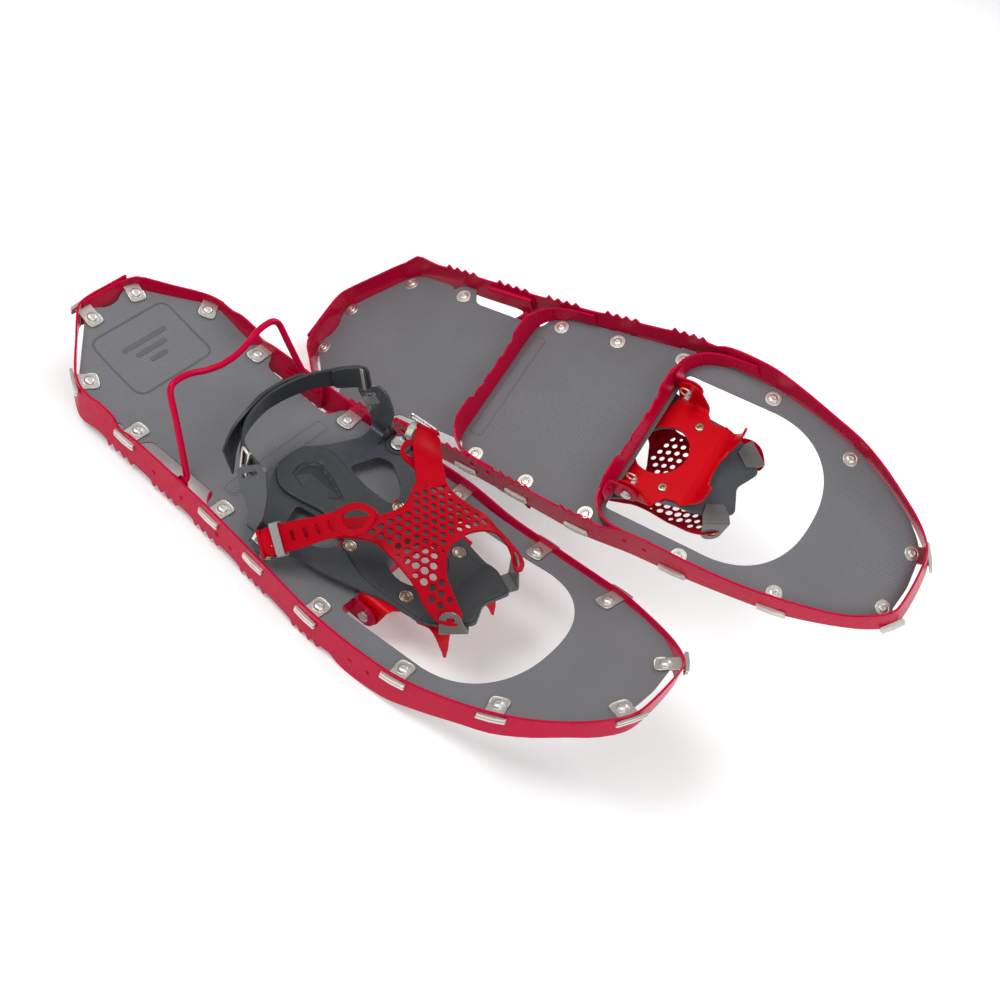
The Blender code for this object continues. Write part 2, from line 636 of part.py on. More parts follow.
def toe_tab(side, tag, sign, group):
    """A bent steel tab under a front corner, with the slot that the wrap's front arm hooks into."""
    edge = np.array(TAB_EDGE)
    run = (edge[1] - edge[0]) / np.linalg.norm(edge[1] - edge[0])
    out = np.array([run[1], -run[0]])
    middle = edge.mean(axis=0)
    base = -FOOTBED_THICK - GAP - TAB_THICK
    lean = math.tan(math.radians(TAB_LEAN))
    tip = (TAB_REACH + TAB_RISE * lean, TAB_RISE)
    path = Bend(rounded([(-9, 0), (TAB_REACH, 0), tip], 2.5, 3, closed=False))

    def bend(u, v, w):
        d, h = path.at(u, w)
        along, across = middle + out * d + run * v
        return toe_slope(along, sign * across, base + h)

    length = path.s[-1]
    half = [(0, 8), (9, 12), (18, 12.5), (20, 12), (length - 6, 8.5), (length - 2, 6), (length, 3)]
    outline = half + [(u, -v) for u, v in reversed(half)]
    slot = [(length - 12, -4), (length - 6, -4), (length - 6, 3), (length - 12, 3)]
    creases = [((s, -30), (s, 30)) for s in path.folds]
    sheet(f"{side}_toe_tab_{tag}", outline, [slot], creases, bend, TAB_THICK, STEEL, group)


def wrap_height(x, y):
    """Height of the wrap over the instep, low at its tied ends."""
    arch = 61.0 - 0.0052 * y * y + 0.0035 * (x - 78) ** 2 * math.exp(-((x - 60) / 30) ** 2)
    toe = max(0.0, x - 100) * 0.2
    near = max(0.0, 52 - x) * 0.22 if y < 0 else 0.0
    far = max(0.0, 62 - x) * 0.62 if y > 0 else 0.0
    heel = max(0.0, 5 - x) * 0.1 if y < 0 else 0.0
    return arch - toe - near - heel + far * min(1.0, max(0.0, y / 40.0))


def mesh_wrap(side, hand, group):
    """The stretchy wrap over the boot as one plain sheet: a body and four arms."""
    toe_arm = [(103, 0), (108, -12), (119, -19), (134, -27), (144, -31), (146, -40), (138, -45), (122, -43)]
    near_arm = [(100, -44), (64, -50), (38, -54), (8, -58), (-14, -74), (-22, -66), (6, -40), (38, -33)]
    notch = [(50, -22), (53, 0), (52, 15), (44, 30)]
    far_arm = [(28, 44), (6, 60), (18, 74), (40, 66), (60, 58), (80, 50), (100, 44)]
    far_toe = [(x, -y) for x, y in reversed(toe_arm[1:])]
    outline = rounded(toe_arm + near_arm + notch + far_arm + far_toe, 8, 2)
    creases = [((x, -100), (x, 100)) for x in range(-10, 146, 12)]
    creases += [((-40, y), (160, y)) for y in range(-70, 80, 10)]

    def bend(u, v, w):
        return u, hand * v, wrap_height(u, v) - w

    sheet(f"{side}_mesh_wrap", outline, [], creases, bend, 2.2, SOFT_RED, group)


def side_buckle(side, tag, sign, rise, group):
    """A steel link bolted to a wing: a strip that rises to a loop for the wrap's side arm."""
    slope = WING_RISE / (WING_EDGE - WING_FOLD)
    z0 = FOOTBED_Z + (BOLT[1] + 7 - WING_FOLD) * slope + GAP
    lean = [(BOLT[1] - 7, z0 - 14 * slope), (BOLT[1] + LINK_OUT - 1, z0 + (LINK_OUT - 8) * slope)]
    lean += [(BOLT[1] + LINK_OUT, z0 + 3), (BOLT[1] + LINK_OUT - rise * LINK_LEAN, z0 + rise)]
    path = Bend(rounded(lean, 2.5, 2, closed=False))
    length = path.s[-1]
    lean_x = 12.0 * rise / 52.0

    def bend(u, v, w):
        y, z = path.at(u, w)
        return BOLT[0] + v + lean_x * max(0.0, u - 15) / length, sign * y, z

    wide = 9.0 + rise * 0.08
    outline = [(0, -6), (18, -6), (length - 16, -6), (length - 10, -wide), (length, -wide),
               (length, wide), (length - 10, wide), (length - 16, 6), (18, 6), (0, 6)]
    low = length - 7.5
    high = length - 3
    inner = wide - 3
    loop = [(low, -inner), (high, -inner), (high, inner), (low, inner)]
    bore = circle((7.0, 0), RIVET_BORE, 12)
    creases = [((s, -30), (s, 30)) for s in path.folds]
    sheet(f"{side}_side_buckle_{tag}", outline, [bore, loop], creases, bend, 1.5, STEEL, group)


def ribbon(name, plan, heights, width, thick, look, group, hand=1):
    """A standing strap along a plan curve, its middle at the given heights."""
    line = spline(plan, 12)
    path = Bend(line)
    keys = [path.s[int(np.argmin([math.dist(p, q) for q in line]))] for p in plan]
    half = width / 2
    end = path.s[-1]
    outline = rounded([(0, -half), (end, -half), (end, half), (0, half)], 3, 2)
    creases = [((s, -60), (s, 60)) for s in path.folds]

    def bend(u, v, w):
        x, y = path.at(u, w)
        return x, hand * y, v + float(np.interp(u, keys, heights))

    return sheet(name, outline, [], creases, bend, thick, look, group)


def heel_strap(side, hand, group):
    """The strap round the heel, with its buckle on one side and a steel tip on the free end."""
    plan = [(-52, -68), (-66, -66), (-83, -59), (-99, -38), (-110, -3), (-107, 22), (-98, 43), (-84, 59)]
    plan += [(-66, 66), (-54, 66)]
    heights = [62, 62, 61.5, 61, 56, 59, 64, 70, 82, 88]
    ribbon(f"{side}_heel_strap", plan, heights, 20, 2.6, CHARCOAL, group, hand)
    buckle = [(-78, -57.5), (-62, -63.4)]
    ribbon(f"{side}_heel_buckle", buckle, [62, 62], 24, 1.6, STEEL, group, hand)
    tip = [(-62, 70.5), (-52, 70.5)]
    ribbon(f"{side}_heel_strap_tip", tip, [85, 88], 19, 1.2, STEEL, group, hand)


def keeper(side, hand, group):
    """The loop that holds the wrap's doubled side arm together."""
    plan = [(-11, -76), (-2, -67)]
    ribbon(f"{side}_keeper_loop", plan, [36, 40], 14, 1.6, CLEAR_GREY, group, hand)


def bail(side, group):
    """The wire bail that lifts the heel, raised part way."""
    a = math.radians(BAIL_RAISED[side])
    corner = BAIL_REACH + BAIL_HORN
    half = [(BAIL_HALF + 7.9, 0), (BAIL_HALF, 0), (BAIL_HALF - 2, 9), (70, 50), (65, corner), (43, corner)]
    tight = rounded(half[:3], 3.5, 3, closed=False)
    half = tight[:-1] + rounded(half[2:] + [(24, BAIL_REACH + 3), (8, BAIL_REACH)], 14, 5, closed=False)
    flat = half + [(0, BAIL_REACH)] + [(-y, s) for y, s in reversed(half)]
    flat = [flat[0]] + [q for p, q in zip(flat, flat[1:]) if math.dist(p, q) > 0.5]
    path = [(BAIL_PIVOT[0] - s * math.cos(a), y, BAIL_PIVOT[1] + s * math.sin(a)) for y, s in flat]
    wire(f"{side}_heel_lift_bail", path, BAIL_WIRE, RED, group, sides=12)


def bail_bracket(side, tag, sign, group):
    """A folded box on the rail's inner face with the bore for one end of the bail."""
    rail = BRACKET_FACE
    profile = [(rail - 1.5, -3), (rail - 1.5, -16), (rail - 3.5, -16), (rail - 3.5, 9)]
    path = Bend(rounded(profile, 0.9, 2, closed=False))
    length = path.s[-1]
    pivot_v = length - (9 - BAIL_PIVOT[1])
    lobe = arc((BAIL_PIVOT[0], pivot_v), 6.0, 0, 180, 8)
    outline = [(-161, 0), (-113, 0), (-113, length - 14), (-114, pivot_v)] + lobe + [(-161, length - 14)]
    bore = circle((BAIL_PIVOT[0], pivot_v), BAIL_WIRE + 0.12)
    creases = [((-200, s), (-100, s)) for s in path.folds]

    def bend(u, v, w):
        y, z = path.at(v, w)
        return u, sign * (y + RAIL_SPLAY * (u - BAIL_PIVOT[0])), z

    sheet(f"{side}_bail_bracket_{tag}", outline, [bore], creases, bend, 1.5, RED, group)


def group_under(name, parent, point, base=(0.0, 0.0, 0.0)):
    """An empty at a point given in the shoe's frame."""
    empty = bpy.data.objects.new(name, None)
    bpy.context.scene.collection.objects.link(empty)
    empty.parent = parent
    offset = Vector(point) * MM
    empty.location = offset - Vector(base)
    return {"empty": empty, "offset": offset}


def shoe(side, turn, place, hand, pair):
    """One whole snowshoe. hand is 1 or -1: the binding is mirrored for the other foot."""
    root = bpy.data.objects.new(f"{side}_shoe", None)
    bpy.context.scene.collection.objects.link(root)
    root.parent = pair
    root.rotation_euler = [math.radians(a) for a in turn]
    root.location = Vector(place) * MM
    fixed = {"empty": root, "offset": Vector((0, 0, 0))}
    frame(side, fixed)
    deck(side, fixed)
    crossmember(side, "rear_crossmember", REAR_BLADE_PLAN, fixed)
    crossmember(side, "front_crossmember", FRONT_BLADE_PLAN, fixed)
    for tag, sign in (("l", 1), ("r", -1)):
        pivot_ear(side, tag, sign, fixed)
        pivot_hardware(side, tag, sign, fixed)
        bail_bracket(side, tag, sign, fixed)
    lift = group_under(f"{side}_bail_axis", root, (BAIL_PIVOT[0], 0, BAIL_PIVOT[1]))
    bail(side, lift)
    binding = group_under(f"{side}_binding_axis", root, (PIVOT[0], 0, PIVOT[1]))
    crampon(side, binding)
    footbed(side, hand, binding)
    footbed_hardware(side, hand, binding)
    for tag, sign in (("l", 1), ("r", -1)):
        toe_tab(side, tag, sign, binding)
    mesh_wrap(side, hand, binding)
    side_buckle(side, "short", -hand, 10.0, binding)
    side_buckle(side, "long", hand, 52.0, binding)
    keeper(side, hand, binding)
    strap = group_under(f"{side}_strap_axis", binding["empty"], (-58, 0, ARM_TOP_Z), binding["offset"])
    heel_strap(side, hand, strap)


def settle(pair):
    """Moves the pair so that it stands on z = 0 with the origin at the middle of its footprint."""
    bpy.context.view_layer.update()
    corners = []
    for obj in bpy.data.objects:
        if obj.type == "MESH":
            points = np.empty(len(obj.data.vertices) * 3, np.float32)
            obj.data.vertices.foreach_get("co", points)
            world = np.array(obj.matrix_world)
            corners.append(points.reshape(-1, 3) @ world[:3, :3].T + world[:3, 3])
    corners = np.concatenate(corners)
    low = corners.min(axis=0)
    high = corners.max(axis=0)
    pair.location = (-(low[0] + high[0]) / 2, -(low[1] + high[1]) / 2, -low[2])


def main():
    clear_scene()
    pair = bpy.data.objects.new("pair", None)
    bpy.context.scene.collection.objects.link(pair)
    shoe("right", RIGHT_TURN, RIGHT_PLACE, 1, pair)
    shoe("left", LEFT_TURN, LEFT_PLACE, -1, pair)
    settle(pair)


main()
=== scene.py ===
"""The looks of a pair of snowshoes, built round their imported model.

Lengths are in millimetres in each shoe's own frame (x toward the toe, y to its left, z up from the
deck's top face); a shoe's matrix turns them into metres in the row frame. A piece is a list of parts,
each one (points, faces, pattern), where the pattern coordinates carry the weave.
"""

import functools
import json
import math

import bmesh
import bpy
import numpy as np
from mathutils import Euler, Matrix, Vector
from mathutils.geometry import delaunay_2d_cdt


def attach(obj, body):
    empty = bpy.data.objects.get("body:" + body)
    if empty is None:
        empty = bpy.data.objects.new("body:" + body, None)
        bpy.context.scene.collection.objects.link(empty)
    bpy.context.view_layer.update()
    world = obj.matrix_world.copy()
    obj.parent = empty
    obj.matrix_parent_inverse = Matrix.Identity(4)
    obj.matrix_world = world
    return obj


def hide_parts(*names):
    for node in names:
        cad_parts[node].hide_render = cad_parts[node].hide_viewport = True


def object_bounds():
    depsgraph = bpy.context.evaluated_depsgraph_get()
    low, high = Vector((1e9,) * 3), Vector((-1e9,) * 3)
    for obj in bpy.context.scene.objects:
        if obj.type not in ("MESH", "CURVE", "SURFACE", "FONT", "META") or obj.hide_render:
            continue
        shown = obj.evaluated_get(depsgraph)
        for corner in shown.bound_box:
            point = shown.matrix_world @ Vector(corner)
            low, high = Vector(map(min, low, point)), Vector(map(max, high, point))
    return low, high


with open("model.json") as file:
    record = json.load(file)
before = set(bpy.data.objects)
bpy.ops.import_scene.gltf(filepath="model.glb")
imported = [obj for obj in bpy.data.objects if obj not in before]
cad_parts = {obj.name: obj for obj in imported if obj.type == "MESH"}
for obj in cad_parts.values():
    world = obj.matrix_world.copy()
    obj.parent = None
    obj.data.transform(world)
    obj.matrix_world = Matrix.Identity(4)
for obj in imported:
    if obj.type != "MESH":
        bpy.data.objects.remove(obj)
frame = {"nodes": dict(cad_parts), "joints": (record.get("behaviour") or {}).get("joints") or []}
CAD_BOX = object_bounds()
NODES = frame["nodes"]
JOINTS = {j["name"]: j for j in frame["joints"]}

MM = 0.001
TURNS = {"right": (9.8, 0.0, 0.0), "left": (-149.53, -16.85, 1.42)}
HANDS = {"right": 1, "left": -1}
PIVOT = (76.0, 0.0, -10.3)

# Camera, from the right shoe's origin.
CAMERA_FROM = (463.9, -893.88, 920.8)
CAMERA_TURN = (47.555, -18.572, 37.176)
CAMERA_LENS = 55.77

# Frame: half of the blade's outer face in plan, from the middle of the tail to the middle of the toe.
FRAME_PLAN = (
    (-317.5, 0), (-317.2, 20), (-313, 34), (-288, 58), (-265, 79), (-247, 87), (-188, 88.4), (-94, 92.5),
    (-18, 99.3), (49, 105.8), (104, 104.6), (146, 103), (187, 97), (229, 87.5), (260, 75.5), (289, 59.5),
    (306, 46), (315.5, 33), (318, 17), (318.5, 0),
)
FRAME_TOP = (
    (-317, 8.5), (-256, 8.5), (-236, 9), (-225, 13.5), (-206, 14), (-201, 9), (-194, 6), (-186, 9),
    (-170, 10), (62, 10), (104, 7.6), (146, 6.3), (229, 6), (260, 4.5), (300, 4.5), (318, 6),
)
FRAME_FOOT_TAIL = ((-317, -20.5), (-262, -22), (-249, -28.5), (-240, -28), (-226, -22))
FRAME_FOOT_TOE = (
    (88, -26), (104, -29.6), (140, -29.6), (160, -26), (187, -22.5), (208, -21.3), (229, -22.6),
    (260, -20), (281, -17.3), (302, -19.5), (318, -19.5),
)
BLADE = 2.0
TOOTH_GROUPS = (-212, -153, -98, -36, 32)
TEETH = 4
TOOTH_PITCH = 9.5
TOOTH_FOOT = -25.5
TOOTH_ROOT = -21.5
CREST_FOOT = -20.6
LAP = 27.0
CLIP_STATIONS = (
    (-302, 26), (-253, 72), (-188, 74), (-77, 79), (-18, 85), (49, 91), (141, 90), (223, 75), (302, 30),
)
CLIP_HALF = 7.6
CLIP_THICK = 1.6
SLOT_PLAY = 0.4
SLOT_SPAN = (-0.3, 2.2)
HEAD_HALF = 12.5
CLIP_LIFT = 0.15
HEAD_LAYERS = (-0.3, 0.0, -0.5, -0.2)
HEAD_LOW = -2.6
HEAD_PITCH = 1.75
RAIL_RIVETS = ((-151, -9), (-115, -9), (-68, -12), (-50, -12), (98, -12), (117, -12))
LAP_RIVETS = ((-17, -2), (-17, -13), (9, -2), (9, -13))

# Deck.
DECK_THICK = 1.2
TOE_RISE = (70.0, 76.0, 232.0, 1.8)
TAIL_RISE = (-188.0, 20.6, 114.0, 1.6)
DECK_PLAN = (
    (-304, 0), (-305, 8), (-309.5, 15), (-311, 24), (-303, 34), (-259, 79), (-247, 83.6), (-207, 81.5),
    (-202, 77), (-197, 85.4), (-180, 86), (-172, 71), (-95, 71), (-89, 89.4), (-18, 96), (49, 102.4),
    (104, 101.4), (146, 99.7), (187, 93.8), (229, 84.2), (260, 72.2), (287, 57.2), (302, 43), (308, 32),
    (311, 0),
)
OPENING_REAR = 61.0
OPENING_HALF = 78.0
OPENING_TURN_X = 150.0
OPENING_NOSE = 71.0
OPENING_POWER = 2.3
PATCH = (-97.0, -81.0, 62.0)
STITCH_PITCH = 3.1
LABEL = (-285.0, -215.0, 46.0)
LABEL_BARS = (26, 18, 10)

# Footbed.
BED_Z = 11.2
BED_THICK = 2.4
WING_FOLD = 45.0
WING_EDGE = 85.0
WING_RISE = 3.0
WING_SLOPE = WING_RISE / (WING_EDGE - WING_FOLD)
ARM_LEAN = 104.0
ARM_RUN = 80.0
ARM_FRONT = -32.5
WIDE_ARM = (
    (-50, 76), (-54, 86), (-61, 108), (-71, 121), (-69, 127), (-46, 152), (-36, 150), (-28, 128),
    (-30, 104),
)
SLIM_ARM = (
    (-44, 74), (-42, 84), (-46, 100), (-62, 117), (-70, 126), (-68, 132), (-52, 148), (-43, 146),
    (-34, 126), (-30, 104),
)
ARM_SLOT = ((-62, 125), (-50.4, 138.6), (-47.7, 136.4), (-59.3, 122.6))
SLIM_SHIFT = (-2.0, 2.0)
BOLT = (-21.0, 84.0)
TOE_FOLD = 118.0
TOE_PITCH = 24.0
TAB_EDGE = ((160.0, 25.0), (134.5, 41.5))
WINDOW = ((-34, 33), (-10, 28), (24, 30), (15, 50), (-10, 66), (-24, 62))
TOE_WINDOW = ((77.0, 0.0), 26.0)
RIVETS = ((95.0, 35.0), (27.0, 32.0))
RIVET_BORE = 3.4
PANEL = (
    (-77, 0), (-76, 14), (-71.5, 21), (-61, 30), (-50, 32.5), (-34, 29.5), (-17, 24.5), (0, 24), (16, 28),
    (32, 40), (55, 47), (77, 47), (97, 44.5), (112, 43.5), (125, 43), (134, 40.5), (158, 25), (159, 21),
    (154.5, 10), (150, 0),
)
PANEL_THICK = 0.9
CRAMPON_THICK = 2.2
HEEL_RISE = 2.8
HEEL_RAMP = (6.0, 14.0)
PANEL_RIM = (0.7, 2.2, 1.3)
HEEL_HOLLOW = ((-61, -13), (-63, 0), (-60, 9), (-52, 15.5), (-33, 11), (-8, 0), (-17, -9), (-44, -18))
HOLLOW_DEPTH = 3.5
HOLLOW_SLOPE = 2.2
BOSS_SHARE = 0.84
BOSS_CROWNS = ((-49.0, -1.0, 3.1), (-27.0, -1.0, 2.3))

# Heel-lift bail.
BAIL_PIVOT = (-120.0, 3.0)
BAIL_RAISED = {"right": 57.7, "left": 42.0}
BAIL_WIRE = 3.0
BAIL_HALF = 79.5
BAIL_REACH = 74.0
BAIL_HORN = 10.0

# Wrap over the boot: the net's outline and its hexagonal holes.
NET_PLAN = (
    (103, 2), (105.5, -6), (111, -14), (120, -22), (131, -26), (141, -30), (149, -33), (152, -38),
    (147, -45), (137, -50), (124, -50), (109, -46.5), (92, -43.5), (77, -41), (60, -40), (48, -43.5),
    (36, -49), (20, -57), (4, -65.5), (-12, -74.5), (-24, -82), (-31, -71), (-18, -62), (0, -51), (16, -40),
    (30, -30), (41, -20.5), (47.5, -9), (49, 2), (44, 15), (37, 31), (33, 38), (39, 56), (48, 53.5),
    (63, 48), (85, 48), (100, 51), (112, 55.5), (121, 58), (134, 58), (146, 53), (154, 42), (152, 35),
    (146, 37), (135, 44.5), (124, 47.5), (115, 44), (108, 34), (103.5, 20),
)
NET_THICK = 2.2
NET_CROWN = 61.0
NET_FALL_NEAR = 0.0052
NET_FALL_FAR = 0.0013
NET_SWELL = (0.0035, 78.0, 60.0, 30.0)
TOE_DROP = (100.0, 0.3)
SHOULDER_DROP = (46.0, 0.7)
SHOULDER_FROM, SHOULDER_RUN = 98.0, 14.0
NEAR_DROP = (52.0, 0.22)
TAIL_DROP = (5.0, 0.1)
NET_LOWEST = 17.6
NET_BORDER = 2.7
HOLE_PITCH = 8.5
HOLE_TURN = 12.0
HOLE_ORIGIN = (94.5, -33.3)
HOLE_RADII = (1.4, 2.8, 3.6)
HOLES_FROM, HOLES_TO, HOLES_TO_FAR = 40, 134, 107

# Straps and side link, as (middle point, direction across); the far strap by its two edges.
NEAR_STRAP = (((-19.3, -90.4, 19.5), (-0.85, 0.35, 0.38)), ((-9.3, -78, 26.5), (-0.75, 0.35, 0.56)),
              ((21, -55, 55), (-0.76, 0.34, 0.56)), ((53, -38, 88), (-0.80, 0.30, 0.50)))
FAR_EDGES = (
    ((0, 74, 65), (21, 74, 73.5)), ((11.8, 58, 61.5), (30.6, 67, 66)), ((24, 45, 61.5), (40, 59.5, 61)),
    ((36.8, 31, 61), (50, 53.5, 59.5)), ((42, 22, 60), (58, 47, 59)),
)
LINK = (((-19, 93, 17.5), (0.95, -0.1, 0.2)), ((-14, 88, 42), (0.93, -0.1, 0.3)),
        ((3, 76, 72), (0.86, -0.05, 0.5)), ((5, 74.5, 76), (0.86, -0.05, 0.5)))
SLOT_PITCH = 12.2
KEEPER_AT = 14.0
STRAP_HALF = 12.0
STRAP_THICK = 2.2
RING_LENGTH = 40.0
HEEL_PLAN = (
    (-52, -68, 62), (-66, -66, 62), (-83, -59, 61.5), (-99, -38, 61), (-110, -3, 56), (-107, 22, 59),
    (-98, 43, 64), (-84, 59, 70), (-66, 66, 82), (-54, 66, 88),
)
HEEL_OUTER = (
    ((-92.5, -63, 38), (-0.62, 0.0, 0.78)), ((-101.5, -48, 50), (-0.35, 0.0, 0.94)),
    ((-108.5, -24, 58.5), (0.0, 0.0, 1.0)), ((-113.2, -3, 56.5), (0.0, 0.0, 1.0)),
    ((-110.5, 22, 59), (0.0, 0.0, 1.0)), ((-101, 44.5, 64), (0.0, 0.0, 1.0)),
)
HEEL_HALF = 10.0
HEEL_THICK = 2.4
BUCKLE_AT = (13.0, 24.0)

# Studio: each lamp's place and size in metres and its power; the paper's and the sky's glow.
LAMPS = {
    "key": ((-0.9, -1.0, 1.9), 1.4, 30), "fill": ((1.6, -0.9, 1.4), 1.8, 20),
    "back": ((0.3, 1.7, 1.5), 1.6, 22),
}
LAMP_AIM = (0, 0, 0.1)
FLOOR_GLOW = 0.16
SKY_GLOW = 0.42


def past(value, start, slope=1.0):
    """How far a value is past a start, times a slope."""
    return max(0.0, value - start) * slope


def mirrored(half):
    """A closed outline from the half with y at or above zero, listed from tail to toe."""
    return list(half) + [(x, -y) for x, y in reversed(half) if y > 0]


def arc(centre, radius, start, end, steps):
    angles = np.radians(np.linspace(start, end, steps + 1))
    return [(centre[0] + radius * math.cos(a), centre[1] + radius * math.sin(a)) for a in angles]


def circle(centre, radius, steps=24):
    return arc(centre, radius, 0, 360, steps)[:-1]


def across(spots, reach=20):
    """Creases across a pattern at distances along it."""
    return [((s, -reach), (s, reach)) for s in spots]


def rounded(points, radius, steps=6, closed=True):
    """The polyline with each inner corner cut by a quadratic curve that starts radius away."""
    points = [np.array(p, float) for p in points]
    out = []
    for i, here in enumerate(points):
        if not closed and i in (0, len(points) - 1):
            out.append(tuple(here))
            continue
        before = points[i - 1] - here
        after = points[(i + 1) % len(points)] - here
        cut = min(radius, 0.48 * np.linalg.norm(before), 0.48 * np.linalg.norm(after))
        start = here + before / np.linalg.norm(before) * cut
        end = here + after / np.linalg.norm(after) * cut
        for t in np.linspace(0, 1, steps + 1):
            out.append(tuple((1 - t) ** 2 * start + 2 * t * (1 - t) * here + t * t * end))
    return out


def box(start, end, half, radius=0.0, steps=5):
    """A rectangle from start to end and half to each side, with its corners rounded."""
    corners = [(start, -half), (end, -half), (end, half), (start, half)]
    return rounded(corners, radius, steps) if radius else corners


def spline(points, most_turn=4.0, longest=14.0, closed=False):
    """A smooth curve through the points, sampled more closely where it turns."""
    p = [np.array(q, float) for q in points]
    p = [p[-1]] + p + p[:2] if closed else [2 * p[0] - p[1]] + p + [2 * p[-1] - p[-2]]
    out = [] if closed else [p[1]]
    for a, b, c, d in zip(p, p[1:], p[2:], p[3:]):
        into = (c - a) / 2
        away = (d - b) / 2
        reach = np.linalg.norm(c - b)
        into = into / np.linalg.norm(into) * min(np.linalg.norm(into), reach)
        away = away / np.linalg.norm(away) * min(np.linalg.norm(away), reach)
        cosine = np.dot(into, away) / (np.linalg.norm(into) * np.linalg.norm(away))
        turn = math.degrees(math.acos(np.clip(cosine, -1, 1)))
        steps = max(1, math.ceil(turn / most_turn), math.ceil(reach / longest))
        for t in np.linspace(0, 1, steps + 1)[1:]:
            h1 = 2 * t**3 - 3 * t**2 + 1
            h2 = t**3 - 2 * t**2 + t
            h3 = 3 * t**2 - 2 * t**3
            h4 = t**3 - t**2
            out.append(h1 * b + h2 * into + h3 * c + h4 * away)
    return [tuple(q) for q in out]


class Bend:
    """A bent line in a plane: where a distance along it lies, and which way its left side faces."""

    def __init__(self, points):
        self.p = np.array(points, float)
        steps = np.diff(self.p, axis=0)
        lengths = np.linalg.norm(steps, axis=1)
        self.s = np.concatenate([[0], np.cumsum(lengths)])
        left = np.stack([-steps[:, 1], steps[:, 0]], 1) / lengths[:, None]
        mitre = np.vstack([left[:1], left]) + np.vstack([left, left[-1:]])
        self.n = mitre / (np.sum(mitre * mitre, axis=1) / 2)[:, None]
        self.folds = self.s[1:-1]

    def at(self, s, w=0.0):
        x = np.interp(s, self.s, self.p[:, 0]) + w * np.interp(s, self.s, self.n[:, 0])
        y = np.interp(s, self.s, self.p[:, 1]) + w * np.interp(s, self.s, self.n[:, 1])
        return x, y

    def nearest(self, point):
        """The distance along the line of its nearest point."""
        s = np.linspace(0, self.s[-1], 4000)
        x, y = self.at(s)
        return float(s[np.argmin((x - point[0]) ** 2 + (y - point[1]) ** 2)])


class Band:
    """A strap through stations (middle, direction across): s along it, t across it and w off its face.

    square keeps the direction across at right angles to the strap's run; hand mirrors it for one foot.
    """

    def __init__(self, stations, hand, square=True):
        rows = np.array(spline([(*c, *(20 * np.array(a))) for c, a in stations], 5, 4))
        self.c = rows[:, :3]
        steps = np.diff(self.c, axis=0)
        self.s = np.concatenate([[0], np.cumsum(np.linalg.norm(steps, axis=1))])
        ahead = np.gradient(self.c, self.s, axis=0)
        ahead /= np.linalg.norm(ahead, axis=1)[:, None]
        across = rows[:, 3:] - square * ahead * np.sum(rows[:, 3:] * ahead, axis=1)[:, None]
        self.a = across / np.linalg.norm(across, axis=1)[:, None]
        facing = np.cross(ahead, self.a)
        self.n = facing / np.linalg.norm(facing, axis=1)[:, None]
        self.length = self.s[-1]
        for rows in (self.c, self.a, self.n):
            rows[:, 1] *= hand

    def at(self, s, t, w):
        def row(rows):
            return np.array([np.interp(s, self.s, rows[:, k]) for k in range(3)])

        return row(self.c) + t * row(self.a) + w * row(self.n)


def inside(loops, x, y):
    """Which of the points lie inside an odd number of the loops."""
    hit = np.zeros(len(x), bool)
    for loop in loops:
        p = np.array(loop, float)
        for (x0, y0), (x1, y1) in zip(p, np.roll(p, -1, axis=0)):
            if y0 != y1:
                spans = (y0 > y) != (y1 > y)
                hit ^= spans & (x < x0 + (y - y0) * (x1 - x0) / (y1 - y0))
    return hit


def edge_distance(loops, points):
    """How far each point is from the nearest of the loops' edges."""
    best = np.full(len(points), 1e9)
    for loop in loops:
        p = np.array(loop, float)
        for a, b in zip(p, np.roll(p, -1, axis=0)):
            ab = b - a
            t = np.clip(((points - a) @ ab) / max(ab @ ab, 1e-9), 0, 1)
            best = np.minimum(best, np.linalg.norm(points - a - t[:, None] * ab, axis=1))
    return best


def divided(loop, longest):
    """The closed loop with its long edges cut so that they can bend."""
    out = []
    for a, b in zip(loop, list(loop[1:]) + [loop[0]]):
        steps = max(1, math.ceil(math.dist(a, b) / longest))
        out += [tuple(np.array(a) + (np.array(b) - np.array(a)) * k / steps) for k in range(steps)]
    return out


def flat_triangles(outline, holes, creases, grid):
    """Points and triangles of the flat pattern, with an edge along every crease."""
    points = []
    if grid:
        outline = divided(outline, grid)
    edges = []
    for loop in [outline, *holes]:
        first = len(points)
        points.extend(Vector(p) for p in loop)
        edges.extend((first + i, first + (i + 1) % len(loop)) for i in range(len(loop)))
    for start, end in creases:
        edges.append((len(points), len(points) + 1))
        points.extend((Vector(start), Vector(end)))
    if grid:
        box = np.array(outline)
        low, high = box.min(axis=0), box.max(axis=0)
        u, v = np.meshgrid(np.arange(low[0], high[0], grid), np.arange(low[1], high[1], grid))
        u[1::2] += grid / 2
        spots = np.stack([u.ravel(), v.ravel()], 1)
        spots = spots[inside([outline, *holes], spots[:, 0], spots[:, 1])]
        spots = spots[edge_distance([outline, *holes], spots) > 0.3 * grid]
        points.extend(Vector(p) for p in spots)
    verts, _, faces, *_ = delaunay_2d_cdt(points, edges, [], 0, 1e-4)
    flat = np.array([tuple(v) for v in verts])
    tris = np.array([list(f) for f in faces])
    centre = flat[tris].mean(axis=1)
    tris = tris[inside([outline, *holes], centre[:, 0], centre[:, 1])]
    used, tris = np.unique(tris, return_inverse=True)
    return flat[used], tris.reshape(-1, 3)


